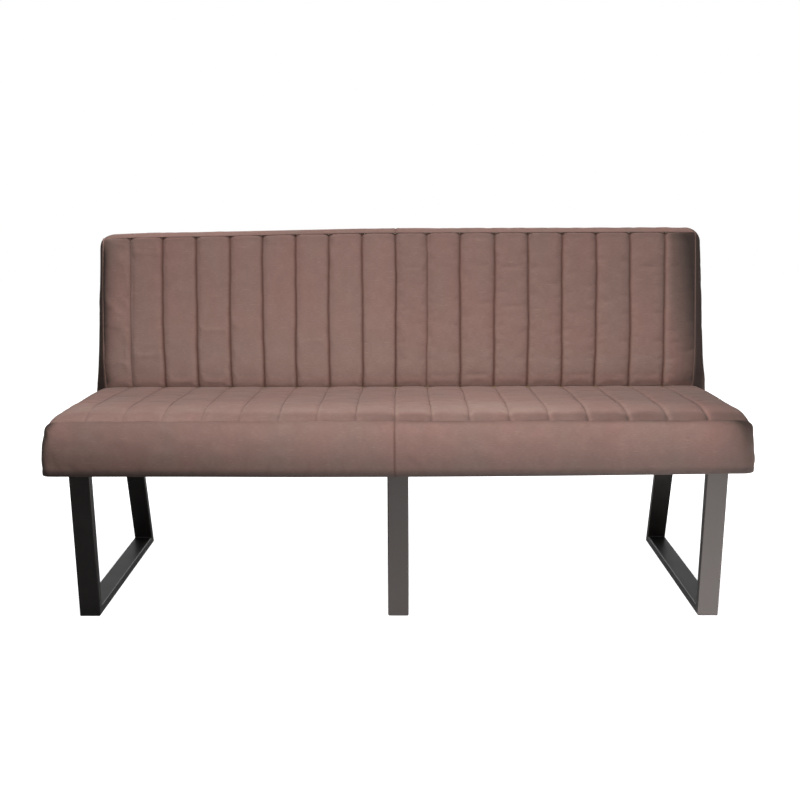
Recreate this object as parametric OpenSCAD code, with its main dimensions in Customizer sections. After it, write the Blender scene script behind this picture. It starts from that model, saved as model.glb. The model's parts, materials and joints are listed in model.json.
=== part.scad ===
// Dining bench: a padded seat and a leaning back, both sewn in straight channels, on three
// steel sled legs. Millimetres. X runs along the bench, the front faces -Y and Z is up.
// The origin is on the floor, under the middle of the bench.

/* [Seat] */
// Length of the seat over its bulging ends
seat_length = 1646; // [1310:2:2200]
// Depth of the seat from its front to the face that the back is bolted to
seat_depth = 478; // [420:2:560]
// Inset of the timber frame from the outer face of the padding
rail_inset = 12; // [9:0.5:14]
// Height of the seat rails
rail_h = 72; // [60:1:90]
// Thickness of the seat rails
rail_t = 22; // [18:1:28]
// Radius on the outer corners of the seat frame
rail_corner = 10; // [8:1:12]
// Width of the cross rails that the legs are screwed to
cross_w = 66; // [56:1:90]
// Thickness of the plywood deck
deck_t = 12; // [9:1:18]
// Thickness of the foam slab on the deck
foam_t = 28; // [20:1:50]
// Set-back of the seam along the top of the front band
front_lean = 45; // [36:1:56]
// Set-back of the seam along the top of the side bands
side_lean = 16; // [14:1:22]
// Inward tuck of the bands at their bottom edge
band_tuck = 4; // [2:0.5:8]
// Outer radius of the seat's front corners, seen from above
seat_corner = 32; // [28:1:44]

/* [Back] */
// Height of the top of the back above the floor
overall_height = 909; // [820:1:1000]
// Lean of the back from upright, in degrees
recline = 10; // [5:0.5:14]
// Inset of the back's side seams from the ends of the seat
back_seam_inset = 20; // [16:1:26]
// Reach of the border past the side seams at the top of the back
border_top_reach = 12.5; // [10:0.5:16]
// Reach of the border past the side seams where the back meets the seat
border_low_reach = 33; // [26:0.5:40]
// Outer radius of the top corners of the back
back_corner = 36; // [30:1:40]
// Depth of the back's plywood uprights
upright_d = 45; // [36:1:60]
// Thickness of the back's plywood uprights
upright_t = 24; // [18:1:30]
// Thickness of the back's top rail
top_rail_t = 20; // [16:1:28]
// Thickness of the board that carries the back's foam
board_t = 5; // [3:0.5:8]
// Thickness of the foam on the board
back_foam_t = 25; // [15:1:40]
// Thickness of the padding over the top rail
border_t = 10; // [8:0.5:12]
// Distance of the top front seam below the top of the back
top_seam_drop = 16; // [14:0.5:20]
// Thickness of the plain cover on the rear
rear_cover_t = 2.5; // [1.5:0.5:4]

/* [Channels] */
// Number of sewn channels in each half of the seat and the back
channels = 9; // [5:1:12]
// Share of the padding's height that a sewn line draws in
groove_share = 0.3; // [0.15:0.05:0.4]
// Share of the padding's height that is lost at the side seams
side_fall = 0.45; // [0.3:0.05:0.6]
// Width of the rounding at the side seams
side_roll = 42; // [30:1:60]

/* [Legs] */
// Height of the legs from the floor to the face under the seat
leg_height = 366; // [300:1:420]
// Inset of the outer legs from the ends of the seat
leg_inset = 51; // [40:1:100]
// Width of the leg tube
tube_w = 50; // [40:1:60]
// Thickness of the leg tube
tube_t = 20; // [16:1:30]
// Wall of the leg tube
tube_wall = 2; // [1.5:0.5:3]
// Outer radius on the edges of the leg tube
tube_edge = 3; // [2.5:0.5:4]
// Thickness of the flat bar on top of the legs
plate_t = 6; // [4:0.5:10]
// Distance of the front posts from the front of the seat, at the top
front_post_top = 42; // [30:1:60]
// Distance of the front posts from the front of the seat, at the floor
front_post_foot = 52; // [30:1:80]
// Reach of the rear posts behind the rear of the seat, at the top
rear_post_reach = 18; // [0:1:30]
// Further reach of the rear posts at the floor
rear_post_splay = 88; // [40:1:100]
// Thickness of the glides under the legs
glide_t = 2; // [1:0.5:5]
// Length of each glide
glide_l = 60; // [30:1:90]

/* [Fasteners] */
// Diameter of the leg screws
screw_d = 6; // [5:0.5:8]
// Length of the leg screws under their heads
screw_l = 40; // [30:1:60]
// Diameter of the bolts that hold the back
bolt_d = 8; // [6:0.5:10]
// Outer diameter of the threaded inserts in the rear rail
insert_d = 12; // [11:0.5:14]

/* [Hidden] */
$fn = 48;

velvet = "#8d716a";
velvet_dark = "#7a625b";
steel = "#2c2a29";
zinc = "#b9bcc0";
timber = "#d6b98c";
ply = "#c9a673";
foam = "#e9dfb8";
cloth = "#222222";

// Clearance between padded faces, and round screws in their holes
gap = 0.3;
hole_gap = 0.25;

// Heights of the seat's layers
lip_t = 1.2;
dust_t = 0.8;
band_z = leg_height + dust_t;
rail_z = band_z + lip_t;
deck_z = rail_z + rail_h;
foam_z = deck_z + deck_t;
foam_top = foam_z + foam_t;

// Places along the seat
half = seat_length / 2;
frame_half = half - rail_inset;
end_inner = frame_half - rail_t;
leg_x = half - leg_inset - tube_w / 2;

// Height of the padding above the foam: at the front seam, at the crest and at the rear
seat_edge_h = 13;
seat_crest_h = 25.5;
seat_rear_h = 3;
// The padding as [share of the way from the seam to the rear, share of the drop from the crest]
seat_rise = [[0, 1], [0.0115, 0.64], [0.035, 0.32], [0.076, 0.09], [0.15, 0]];
seat_slope = [[0.31, 0.065], [0.5, 0.22], [0.68, 0.4], [0.84, 0.6], [0.95, 0.8], [1, 1]];
function seat_rows(shape, end_h) = [
    for (row = shape)
        [
            front_lean + row[0] * (seat_depth - front_lean),
            seat_crest_h - row[1] * (seat_crest_h - end_h)
        ]
];
// The padding as [distance from the front of the seat, height above the foam]
seat_pad = concat(seat_rows(seat_rise, seat_edge_h), seat_rows(seat_slope, seat_rear_h));

// Border over the edge of the back, from its front seam to its crest, as
// [share of the way in from the outer face, share of the roll behind the seam]
border_outer = [[1, 0], [0.45, 0.15], [0.12, 0.4], [0, 0.7], [0, 1]];
border_roll = 28;
quilt_t = 16;
edge_drop = 8;
back_crest_n = back_foam_t + quilt_t;
top_seam_n = back_crest_n - edge_drop;
border_crest_n = top_seam_n - border_outer[3][1] * border_roll;

// The back leans from a line at the deck, behind the face of the board
board_set_back = 5.3;
lean_y = seat_depth + board_set_back;
lean_z = foam_z;
back_v = (overall_height - lean_z - border_crest_n * sin(recline)) / cos(recline);
rail_v = back_v - border_t;
upright_v = rail_v - top_rail_t;
rear_n = -board_t - upright_d;
frame_side_inset = 8;
back_seam_x = half - back_seam_inset;
back_half_top = back_seam_x + border_top_reach;
back_half_low = back_seam_x + border_low_reach;
frame_x = back_seam_x - frame_side_inset;
foot_v = rail_z - lean_z;
lower_front_n = lean_y - seat_depth - gap;
seam_v = back_v - top_seam_drop;

// Rear cover, whose top edge is the rearmost place on the bench
cover_edge = 5;
cover_n = rear_n - rear_cover_t;
cover_v = back_v - cover_edge;
// Depth of the whole bench, which the origin halves
total_depth = lean_y + cover_v * sin(recline) - cover_n * cos(recline);

// The padding of the back fills out above its foot and rounds off under the top seam
back_pad_low = foam_t + 2;
foot_run = 120;
top_run = 35;
foam_tip_n = 7;
quilt_tip_n = 10.5;
foot_shape = [[0, 1], [0.07, 0.72], [0.25, 0.56], [0.58, 0.26], [1, 0.07], [1.8, 0]];
top_shape = [[2.7, 0], [1, 0.1], [0.43, 0.31], [0.14, 0.62], [0, 1]];
// Both faces of the padding, as [distance up the board, distance in front of the board]
back_under = [
    [back_pad_low, foam_tip_n],
    [back_pad_low + 0.75 * foot_run, back_foam_t],
    [seam_v, back_foam_t]
];
back_pad = [
    for (row = foot_shape)
        [back_pad_low + row[0] * foot_run, back_crest_n - row[1] * (back_crest_n - quilt_tip_n)],
    for (row = top_shape)
        [seam_v - row[0] * top_run, back_crest_n - row[1] * edge_drop]
];

// Place of a leaning piece, from its distance up the board and in front of it
function back_y(v, n) = lean_y + v * sin(recline) - n * cos(recline);
function back_z(v, n) = lean_z + v * cos(recline) + n * sin(recline);
// Below the line of the lean the back stands upright
function back_point(x, v, n) =
    v > 0 ? [x, back_y(v, n), back_z(v, n)] : [x, lean_y - n, lean_z + v];

// Faces of a skin over stations that each hold the same count of profile points
function skin_faces(stations, count) = [
    for (i = [0 : stations - 2], j = [0 : count - 1], half_quad = [0, 1])
        let (
            a = i * count + j,
            b = i * count + (j + 1) % count,
            c = b + count,
            d = a + count
        )
        half_quad == 0 ? [a, b, c] : [a, c, d]
];
// End faces that fan out from one point of the profile
function fan_faces(start, count, centre, flip) = [
    for (j = [1 : count - 2])
        let (
            p = start + centre,
            q = start + (centre + j) % count,
            r = start + (centre + j + 1) % count
        )
        flip ? [p, q, r] : [p, r, q]
];
// End faces from triangles that are given by the numbers of the profile's points
function end_faces(start, triangles, last) = [
    for (t = triangles)
        let (face = [for (i = t) start + i])
        last ? face : [face[2], face[1], face[0]]
];

// Crown of one channel, from 0 on a sewn line to 1 in its middle
channel_steps = [0, 0.05, 0.16, 0.5, 0.84, 0.95];
function channel_crown(t) = 1 - pow(abs(2 * t - 1), 4);
// Places along X with the crown there, for one half that is width long.
// The last channel stays full up to the side seam, where the padding rounds off.
function channel_places(width) = [
    for (k = [0 : channels - 1], t = channel_steps)
        [width * (k + t) / channels, k == channels - 1 && t > 0.5 ? 1 : channel_crown(t)],
    [width, 1]
];
function side_loss(x, width) = side_fall * pow(max(0, 1 - (width - x) / side_roll), 2);
// Share of the padding's full height at one place along X
function pad_share(x, crown, width) =
    (1 - groove_share * (1 - crown)) * (1 - side_loss(x, width));
edge_share = pad_share(1, 1, 1);

// Edge of the seat padding at the side seam
function seat_side_z(y) = foam_top + edge_share * lookup(y, seat_pad);

// Outline of the front and side bands, as [share of tuck, share of lean, share of height]
band_outer = [
    [1, 0, 0],
    [0.3, 0, 0.1],
    [0, 0, 0.25],
    [0, 0.03, 0.48],
    [0, 0.14, 0.7],
    [0, 0.34, 0.85],
    [0, 0.62, 0.95],
    [0, 1, 1]
];
// Inner face of a band, as [share of lean, height from the top of the foam down]
foam_shares = [[1, 0], [0.7, 3], [0.35, 12], [0, foam_t]];
function foam_inset(share, lean) = max(rail_inset + gap, share * lean);

// A point on the plan of the seat: path is [0, x] on the front, [1, angle] round the
// corner and [2, y] on the side, and the insets are those of the front and the side
function plan_point(path, in_front, in_side, radius) =
    path[0] == 0 ? [path[1], in_front] :
    path[0] == 2 ? [half - in_side, path[1]] :
    [
        half - in_side - radius + radius * sin(path[1]),
        in_front + radius - radius * cos(path[1])
    ];
band_paths = [
    [0, 0], [0, 5], [0, 14], [0, half - side_lean - side_roll],
    for (a = [0 : 15 : 90]) [1, a],
    for (i = [4, 6, 8, 9, 10]) [2, seat_pad[i][0]]
];
// Lip of the bands under the rails, from its bend to its edge
lip_bend = 14;
lip_w = 30;
// The cover draws in a little along the middle seam
seam_dip = 2.5;
function centre_dip(path) = path[0] > 0 || path[1] > 10 ? 0 : seam_dip * (1 - path[1] / 6);
function band_top(path) =
    path[0] == 0 ? foam_top + seat_edge_h : seat_side_z(path[0] == 1 ? front_lean : path[1]);
function band_section(path) = [
    for (p = band_outer)
        let (
            tuck = p[0] * band_tuck + centre_dip(path),
            in_front = tuck + p[1] * front_lean,
            in_side = tuck + p[1] * side_lean,
            radius = max(1, seat_corner - in_front),
            plan = plan_point(path, min(in_front, front_lean), in_side, radius)
        )
        [plan[0], plan[1], band_z + p[2] * (band_top(path) - band_z)],
    for (s = foam_shares)
        let (
            in_front = s[0] == 1 ? front_lean : foam_inset(s[0], front_lean) - 2 * gap,
            in_side = s[0] == 1 ? side_lean : foam_inset(s[0], side_lean) - 2 * gap,
            radius = s[0] == 1 ? 1 : rail_corner + gap,
            plan = plan_point(path, in_front, in_side, radius)
        )
        [plan[0], plan[1], foam_top - s[1] + (s[1] > 0 && s[1] < foam_t ? gap : 0)],
    for (q = [[rail_inset - gap, rail_z], [lip_w, rail_z], [lip_w, band_z], [lip_bend, band_z]])
        let (plan = plan_point(path, q[0], q[0], q[0] < lip_w ? rail_corner + gap : 1))
        [plan[0], plan[1], q[1]]
];

// Ends of a band: its lip, its wall and its part over the foam
band_ends = [
    [12, 13, 14], [12, 14, 15], [0, 12, 15],
    [0, 1, 12], [1, 2, 12], [2, 11, 12], [2, 3, 11], [3, 4, 11],
    [4, 10, 11], [4, 5, 10], [5, 9, 10], [5, 6, 9], [6, 7, 9], [7, 8, 9]
];

// Moves what is drawn from the front of the seat to the middle of the bench
module place() translate([0, -total_depth / 2, 0]) children();

module seat_band(side) {
    sections = [for (path = band_paths) band_section(path)];
    count = len(sections[0]);
    last = (len(sections) - 1) * count;
    color(velvet)
        place()
            mirror([side < 0 ? 1 : 0, 0, 0])
                polyhedron(
                    points = [for (section = sections, p = section) p],
                    faces = concat(
                        skin_faces(len(sections), count),
                        end_faces(0, band_ends, false),
                        end_faces(last, band_ends, true)
                    ),
                    convexity = 8
                );
}

// Legs

rear_post_top = seat_depth + rear_post_reach;
rear_post_foot = rear_post_top + rear_post_splay;
leg_front_slope = (front_post_foot - front_post_top) / leg_height;
leg_rear_slope = (rear_post_foot - rear_post_top) / leg_height;
function front_face(z) = front_post_foot - leg_front_slope * z;
function rear_face(z) = rear_post_foot - leg_rear_slope * z;
// Level thickness of a leaning tube
front_level_t = tube_t * sqrt(1 + leg_front_slope * leg_front_slope);
rear_level_t = tube_t * sqrt(1 + leg_rear_slope * leg_rear_slope);
bar_z = glide_t;
bar_top = bar_z + tube_t;
plate_z = leg_height - plate_t;

module rounded_rect(w, h, r) {
    square([w, h - 2 * r], center = true);
    square([w - 2 * r, h], center = true);
    for (sx = [-1, 1], sy = [-1, 1])
        translate([sx * (w / 2 - r), sy * (h / 2 - r)])
            circle(r);
}

module tube_ring() {
    difference() {
        rounded_rect(tube_w, tube_t, tube_edge);
        rounded_rect(tube_w - 2 * tube_wall, tube_t - 2 * tube_wall, tube_edge - tube_wall);
    }
}

// A side view given as [y, z] points, made solid for the width w around x
module side_view(points, x, w) {
    translate([x - w / 2, 0, 0])
        rotate([90, 0, 90])
            linear_extrude(w)
                polygon(points);
}

// A length of tube whose middle line passes through [y, z], leaning back by angle
module leaning_tube(x, y, z, angle) {
    translate([x, y, z])
        rotate([-angle, 0, 0])
            translate([0, 0, -leg_height])
                linear_extrude(2 * leg_height)
                    tube_ring();
}

module front_post(x) {
    mid = leg_height / 2;
    cut = [
        [front_face(bar_z), bar_z],
        [front_face(bar_top) + front_level_t, bar_top],
        [front_face(plate_z) + front_level_t, plate_z],
        [front_face(plate_z), plate_z]
    ];
    color(steel)
        place()
            intersection() {
                leaning_tube(x, front_face(mid) + front_level_t / 2, mid, -atan(leg_front_slope));
                side_view(cut, x, tube_w + 2);
            }
}

module rear_post(x) {
    mid = leg_height / 2;
    cut = [
        [rear_face(bar_z), bar_z],
        [rear_face(bar_top) - rear_level_t, bar_top],
        [rear_face(plate_z) - rear_level_t, plate_z],
        [rear_face(plate_z), plate_z]
    ];
    color(steel)
        place()
            intersection() {
                leaning_tube(x, rear_face(mid) - rear_level_t / 2, mid, -atan(leg_rear_slope));
                side_view(cut, x, tube_w + 2);
            }
}

module foot_bar(x) {
    cut = [
        [front_face(bar_z), bar_z],
        [rear_face(bar_z), bar_z],
        [rear_face(bar_top) - rear_level_t, bar_top],
        [front_face(bar_top) + front_level_t, bar_top]
    ];
    color(steel)
        place()
            intersection() {
                leaning_tube(x, (front_face(0) + rear_face(0)) / 2, bar_z + tube_t / 2, 90);
                side_view(cut, x, tube_w + 2);
            }
}

plate_front = front_face(plate_z);
plate_rear = rear_face(plate_z);

// Screws stand in a line under each cross rail
rail_y0 = rail_inset + rail_t;
rail_y1 = seat_depth - rail_t;
screw_margin = 48;
first_screw_y = rail_y0 + screw_margin;
last_screw_y = rail_y1 - screw_margin;
screw_count = 4;
screw_ys = [
    for (i = [0 : screw_count - 1])
        first_screw_y + i * (last_screw_y - first_screw_y) / (screw_count - 1)
];
module leg_screw_holes(x, z, h) {
    for (y = screw_ys)
        translate([x, y, z - 1])
            cylinder(h = h + 2, d = screw_d + 2 * hole_gap);
}

module top_plate(x) {
    color(steel)
        place()
            difference() {
                translate([x - tube_w / 2, plate_front, plate_z])
                    cube([tube_w, plate_rear - plate_front, plate_t]);
                leg_screw_holes(x, plate_z, plate_t);
            }
}

leg_xs = [-leg_x, 0, leg_x];
glide_margin = 14;
module glides() {
    ys = [front_face(0) + glide_margin, rear_face(0) - glide_margin - glide_l];
    color(cloth)
        place()
            for (x = leg_xs, y = ys)
                translate([x, y + glide_l / 2, 0])
                    linear_extrude(glide_t)
                        rounded_rect(tube_w - 10, glide_l, 4);
}

screw_head_d = 2 * screw_d;
screw_head_h = 4;
module leg_screws() {
    color(zinc)
        place()
            for (x = leg_xs, y = screw_ys)
                translate([x, y, plate_z]) {
                    cylinder(h = screw_l, d = screw_d);
                    translate([0, 0, -screw_head_h])
                        cylinder(h = screw_head_h, d = screw_head_d);
                }
}

// Seat frame

// Plan of the seat frame with round outer corners at the front
module frame_plan(y0, y1) {
    intersection() {
        translate([-frame_half, y0])
            square([2 * frame_half, y1 - y0]);
        union() {
            translate([-frame_half, rail_inset + rail_corner])
                square([2 * frame_half, seat_depth]);
            translate([-frame_half + rail_corner, rail_inset])
                square([2 * (frame_half - rail_corner), seat_depth]);
            for (s = [-1, 1])
                translate([s * (frame_half - rail_corner), rail_inset + rail_corner])
                    circle(rail_corner);
        }
    }
}

module seat_front_rail() {
    color(timber)
        place()
            translate([0, 0, rail_z])
                linear_extrude(rail_h)
                    frame_plan(rail_inset, rail_inset + rail_t);
}

// Bolts of the back, two in each upright
insert_floor = 3;
insert_l = rail_t - insert_floor;
upright_xs = [-frame_x + upright_t / 2, 0, frame_x - upright_t / 2];
bolt_edge = 20;
bolt_zs = [rail_z + bolt_edge, rail_z + rail_h - bolt_edge];
module seat_rear_rail() {
    color(timber)
        place()
            difference() {
                translate([-frame_half, seat_depth - rail_t, rail_z])
                    cube([2 * frame_half, rail_t, rail_h]);
                for (x = upright_xs, z = bolt_zs)
                    translate([x, seat_depth + 1, z])
                        rotate([90, 0, 0])
                            cylinder(h = insert_l + 2, d = insert_d + 2 * hole_gap);
            }
}

module seat_end_rail(side) {
    color(timber)
        place()
            translate([side > 0 ? end_inner : -frame_half, rail_y0, rail_z])
                cube([rail_t, rail_y1 - rail_y0, rail_h]);
}

// A rail from x0 to x1, with holes for the screws of the leg at x
module cross_rail(x0, x1, x) {
    color(timber)
        place()
            difference() {
                translate([x0, rail_y0, rail_z])
                    cube([x1 - x0, rail_y1 - rail_y0, rail_h]);
                leg_screw_holes(x, rail_z, screw_l - plate_t);
            }
}

block_leg = 42;
block_margin = 5;
module glue_blocks() {
    faces_x = [
        [-leg_x + cross_w / 2, 1], [-cross_w / 2, -1], [cross_w / 2, 1],
        [leg_x - cross_w / 2, -1]
    ];
    color(ply)
        place()
            for (f = faces_x, end = [[rail_y0, 1], [rail_y1, -1]])
                translate([f[0], end[0], rail_z + block_margin])
                    linear_extrude(rail_h - 2 * block_margin)
                        polygon([[0, 0], [f[1] * block_leg, 0], [0, end[1] * block_leg]]);
}

module seat_deck() {
    color(ply)
        place()
            translate([0, 0, deck_z])
                linear_extrude(deck_t)
                    frame_plan(rail_inset, seat_depth);
}

foam_paths = [for (a = [0 : 15 : 90]) [1, a], [2, seat_depth]];
function foam_ring(s) =
    let (
        right = [
            for (path = foam_paths)
                plan_point(
                    path,
                    foam_inset(s[0], front_lean),
                    foam_inset(s[0], side_lean),
                    rail_corner
                )
        ],
        count = len(right)
    )
    [
        for (p = right) [p[0], p[1], foam_top - s[1]],
        for (i = [count - 1 : -1 : 0]) [-right[i][0], right[i][1], foam_top - s[1]]
    ];
module seat_foam() {
    rings = [for (s = foam_shares) foam_ring(s)];
    count = len(rings[0]);
    last = (len(rings) - 1) * count;
    color(foam)
        place()
            polyhedron(
                points = [for (ring = rings, p = ring) p],
                faces = concat(
                    skin_faces(len(rings), count),
                    fan_faces(0, count, 0, false),
                    fan_faces(last, count, 0, true)
                ),
                convexity = 4
            );
}

// One half of the seat's channelled panel. Its underside is the flat top of the foam.
module seat_quilt(side) {
    width = half - side_lean;
    places = channel_places(width);
    sections = [
        for (at = places)
            let (share = pad_share(at[0], at[1], width))
            [
                for (p = seat_pad) [at[0], p[0], foam_top + share * p[1]],
                [at[0], seat_depth, foam_top],
                [at[0], front_lean, foam_top]
            ]
    ];
    count = len(sections[0]);
    last = (len(sections) - 1) * count;
    color(velvet)
        place()
            mirror([side < 0 ? 1 : 0, 0, 0])
                polyhedron(
                    points = [for (section = sections, p = section) p],
                    faces = concat(
                        skin_faces(len(sections), count),
                        fan_faces(0, count, count - 1, false),
                        fan_faces(last, count, count - 1, true)
                    ),
                    convexity = 10
                );
}

// Black cloth under the seat and the foot of the back
dust_inset = 20;
dust_rear_inset = 6;
module dust_cover() {
    color(cloth)
        place()
            difference() {
                translate([-half + dust_inset, dust_inset, leg_height])
                    cube([
                        seat_length - 2 * dust_inset,
                        lean_y - rear_n - dust_inset - dust_rear_inset,
                        dust_t
                    ]);
                for (x = leg_xs)
                    leg_screw_holes(x, leg_height, dust_t);
            }
}

// Back frame

upright_n = -board_t;
upright_side = [
    [seat_depth, rail_z],
    [seat_depth, lean_z],
    [back_y(0, upright_n), lean_z],
    [back_y(upright_v, upright_n), back_z(upright_v, upright_n)],
    [back_y(upright_v, rear_n), back_z(upright_v, rear_n)],
    [lean_y - rear_n, lean_z + rear_n * tan(recline / 2)],
    [lean_y - rear_n, rail_z]
];
bolt_head_d = 2 * bolt_d;
bolt_head_h = 5;
bolt_recess = 8;
bolt_l = lean_y - rear_n - bolt_recess - seat_depth + insert_l - 1;
module back_upright(x) {
    color(ply)
        place()
            difference() {
                side_view(upright_side, x, upright_t);
                for (z = bolt_zs)
                    translate([x, lean_y - rear_n + 1, z])
                        rotate([90, 0, 0]) {
                            cylinder(h = lean_y - rear_n - seat_depth + 2, d = bolt_d + 2 * hole_gap);
                            cylinder(h = bolt_recess + 1, d = bolt_head_d + 4);
                        }
            }
}

module back_bolts() {
    color(zinc)
        place()
            for (x = upright_xs, z = bolt_zs)
                translate([x, lean_y - rear_n - bolt_recess, z])
                    rotate([90, 0, 0]) {
                        cylinder(h = bolt_l, d = bolt_d);
                        translate([0, 0, -bolt_head_h])
                            cylinder(h = bolt_head_h, d = bolt_head_d);
                    }
}

module insert_nuts() {
    color(zinc)
        place()
            for (x = upright_xs, z = bolt_zs)
                translate([x, seat_depth, z])
                    rotate([90, 0, 0])
                        difference() {
                            cylinder(h = insert_l, d = insert_d);
                            translate([0, 0, -1])
                                cylinder(h = insert_l + 2, d = bolt_d + hole_gap);
                        }
}

// A plank along X whose side view lies between two places up the board
module back_plank(v0, v1, n0, n1, x0, x1) {
    side_view(
        [
            [back_y(v0, n0), back_z(v0, n0)], [back_y(v1, n0), back_z(v1, n0)],
            [back_y(v1, n1), back_z(v1, n1)], [back_y(v0, n1), back_z(v0, n1)]
        ],
        (x0 + x1) / 2,
        x1 - x0
    );
}

module back_top_rail() {
    color(timber)
        place()
            back_plank(upright_v, rail_v, rear_n, upright_n, -frame_x, frame_x);
}

rail_x0 = upright_t / 2;
rail_x1 = frame_x - upright_t;
lower_rail_v = 45;
lower_rail_w = 60;
module back_lower_rail(side) {
    x = side * (rail_x0 + rail_x1) / 2;
    w = (rail_x1 - rail_x0) / 2;
    color(timber)
        place()
            back_plank(
                lower_rail_v, lower_rail_v + lower_rail_w, upright_n - rail_t, upright_n, x - w, x + w
            );
}

bottom_rail_h = 60;
module back_bottom_rail(side) {
    x = side > 0 ? rail_x0 : -rail_x1;
    color(timber)
        place()
            translate([x, lean_y - rear_n - rail_t, rail_z])
                cube([rail_x1 - rail_x0, rail_t, bottom_rail_h]);
}

board_v0 = 8;
module back_board() {
    color(ply)
        place()
            back_plank(board_v0, rail_v, -board_t, 0, -frame_x, frame_x);
}

module back_foam() {
    top_v = rail_v - gap;
    low = back_under[0];
    bend = back_under[1];
    profile = [
        [low[0], 0], [low[0], low[1] - gap], [bend[0], bend[1] - gap],
        [top_v, bend[1] - gap], [top_v, 0]
    ];
    color(foam)
        place()
            side_view([for (p = profile) [back_y(p[0], p[1]), back_z(p[0], p[1])]], 0, 2 * (frame_x - gap));
}

// One half of the back's channelled panel
module back_quilt(side) {
    places = channel_places(back_seam_x);
    sections = [
        for (at = places)
            let (share = pad_share(at[0], at[1], back_seam_x))
            [
                for (p = back_pad)
                    let (under = lookup(p[0], back_under))
                    back_point(at[0], p[0], under + share * (p[1] - under)),
                for (i = [2, 1, 0])
                    back_point(at[0], back_under[i][0], back_under[i][1])
            ]
    ];
    count = len(sections[0]);
    last = (len(sections) - 1) * count;
    color(velvet)
        place()
            mirror([side < 0 ? 1 : 0, 0, 0])
                polyhedron(
                    points = [for (section = sections, p = section) p],
                    faces = concat(
                        skin_faces(len(sections), count),
                        fan_faces(0, count, count - 2, false),
                        fan_faces(last, count, count - 2, true)
                    ),
                    convexity = 10
                );
}

// Border of the back: over the top, round the corner and down the side.
// Widths down the side, from the foot up, as [distance up the board, half width]
foot_flare = 12;
rear_roll = 12;
rear_inset = 4;
back_widths = [
    [foot_v, back_half_low - foot_flare],
    [back_pad_low, back_half_low],
    [back_v / 2, (back_half_low + back_half_top) / 2 - 1],
    [back_v - back_corner, back_half_top]
];
// Front seam and its lower face, as distances in front of the board
function side_under(v) = v < back_pad_low ? 0 : lookup(v, back_under);
function side_seam(v) =
    v < back_pad_low ? lower_front_n :
    side_under(v) + edge_share * (lookup(v, back_pad) - side_under(v));
// Path: [0, x] on the top, [1, angle] round the corner and [2, v] down the side
border_paths = [
    [0, 0], [0, 5], [0, 14], [0, back_seam_x - side_roll],
    for (a = [0 : 15 : 90]) [1, a],
    [2, back_v * 0.6],
    for (i = [5 : -1 : 0]) [2, back_pad[i][0]],
    [2, back_pad_low - edge_drop], [2, foot_v / 3], [2, foot_v]
];
function border_point(path, in_top, wide, in_side, radius, n) =
    path[0] == 0 ? back_point(path[1], back_v - in_top, n) :
    path[0] == 2 ? back_point(wide - in_side, path[1], n) :
    back_point(
        wide - in_side - radius + radius * sin(path[1]),
        back_v - in_top - radius + radius * cos(path[1]),
        n
    );
function border_section(path) =
    let (
        down = path[0] == 2,
        wide = down ? lookup(path[1], back_widths) : back_half_top,
        seam_n = path[0] == 0 ? top_seam_n : side_seam(down ? path[1] : seam_v),
        under_n = down ? side_under(path[1]) : back_foam_t,
        roll = min(border_roll, seam_n - rear_n - 2 * rear_roll),
        seam_side = wide - back_seam_x,
        inner_side = wide - frame_x - gap,
        dip = centre_dip(path)
    )
    [
        for (p = border_outer)
            let (
                in_top = p[0] * top_seam_drop + dip * (1 - p[0]),
                radius = max(1, back_corner - 2 * in_top)
            )
            border_point(path, in_top, wide, p[0] * seam_side, radius, seam_n - p[1] * roll),
        border_point(path, dip + 1, wide, 1, back_corner, rear_n + rear_roll),
        border_point(
            path, dip + rear_inset, wide, rear_inset, back_corner - rear_inset, rear_n
        ),
        for (n = [rear_n, rear_n + rear_roll, rear_n + 2 * rear_roll, -board_t])
            border_point(path, border_t - gap, wide, inner_side, 1, n),
        border_point(path, border_t - gap, wide, inner_side, 1, (under_n - board_t) / 2),
        border_point(path, border_t - gap, wide, inner_side, 1, under_n),
        border_point(path, top_seam_drop, wide, seam_side, 1, under_n)
    ];
// Ends of the border: beside its front seam, and the rest down to its rear edge
border_top_end = [[0, 12, 13], [0, 1, 12], [1, 2, 12]];
border_foot_end = [[0, 1, 13], [1, 2, 13], [2, 12, 13]];
border_ends = [
    [2, 11, 12], [2, 3, 11], [3, 10, 11], [3, 4, 10], [4, 9, 10],
    [4, 5, 9], [5, 8, 9], [5, 6, 8], [6, 7, 8]
];
module back_border(side) {
    sections = [for (path = border_paths) border_section(path)];
    count = len(sections[0]);
    last = (len(sections) - 1) * count;
    color(velvet_dark)
        place()
            mirror([side < 0 ? 1 : 0, 0, 0])
                polyhedron(
                    points = [for (section = sections, p = section) p],
                    faces = concat(
                        skin_faces(len(sections), count),
                        end_faces(0, concat(border_top_end, border_ends), false),
                        end_faces(last, concat(border_foot_end, border_ends), true)
                    ),
                    convexity = 8
                );
}

// Outline of one rear cover, which follows the outer edge of the border. Its top and its foot
// run on past the ends of the cover's own thickness.
module rear_outline() {
    top_z = back_z(cover_v, rear_n);
    round_x = back_half_top - cover_edge - back_corner;
    polygon([
        [0, 0],
        [back_widths[0][1] - cover_edge, 0],
        for (w = back_widths)
            [w[1] - cover_edge, back_point(0, w[0], rear_n)[2]],
        for (a = [15 : 15 : 75])
            [round_x + back_corner * cos(a), top_z - back_corner * (1 - sin(a))],
        [round_x, top_z],
        [round_x, top_z + 1],
        [0, top_z + 1]
    ]);
}

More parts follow.
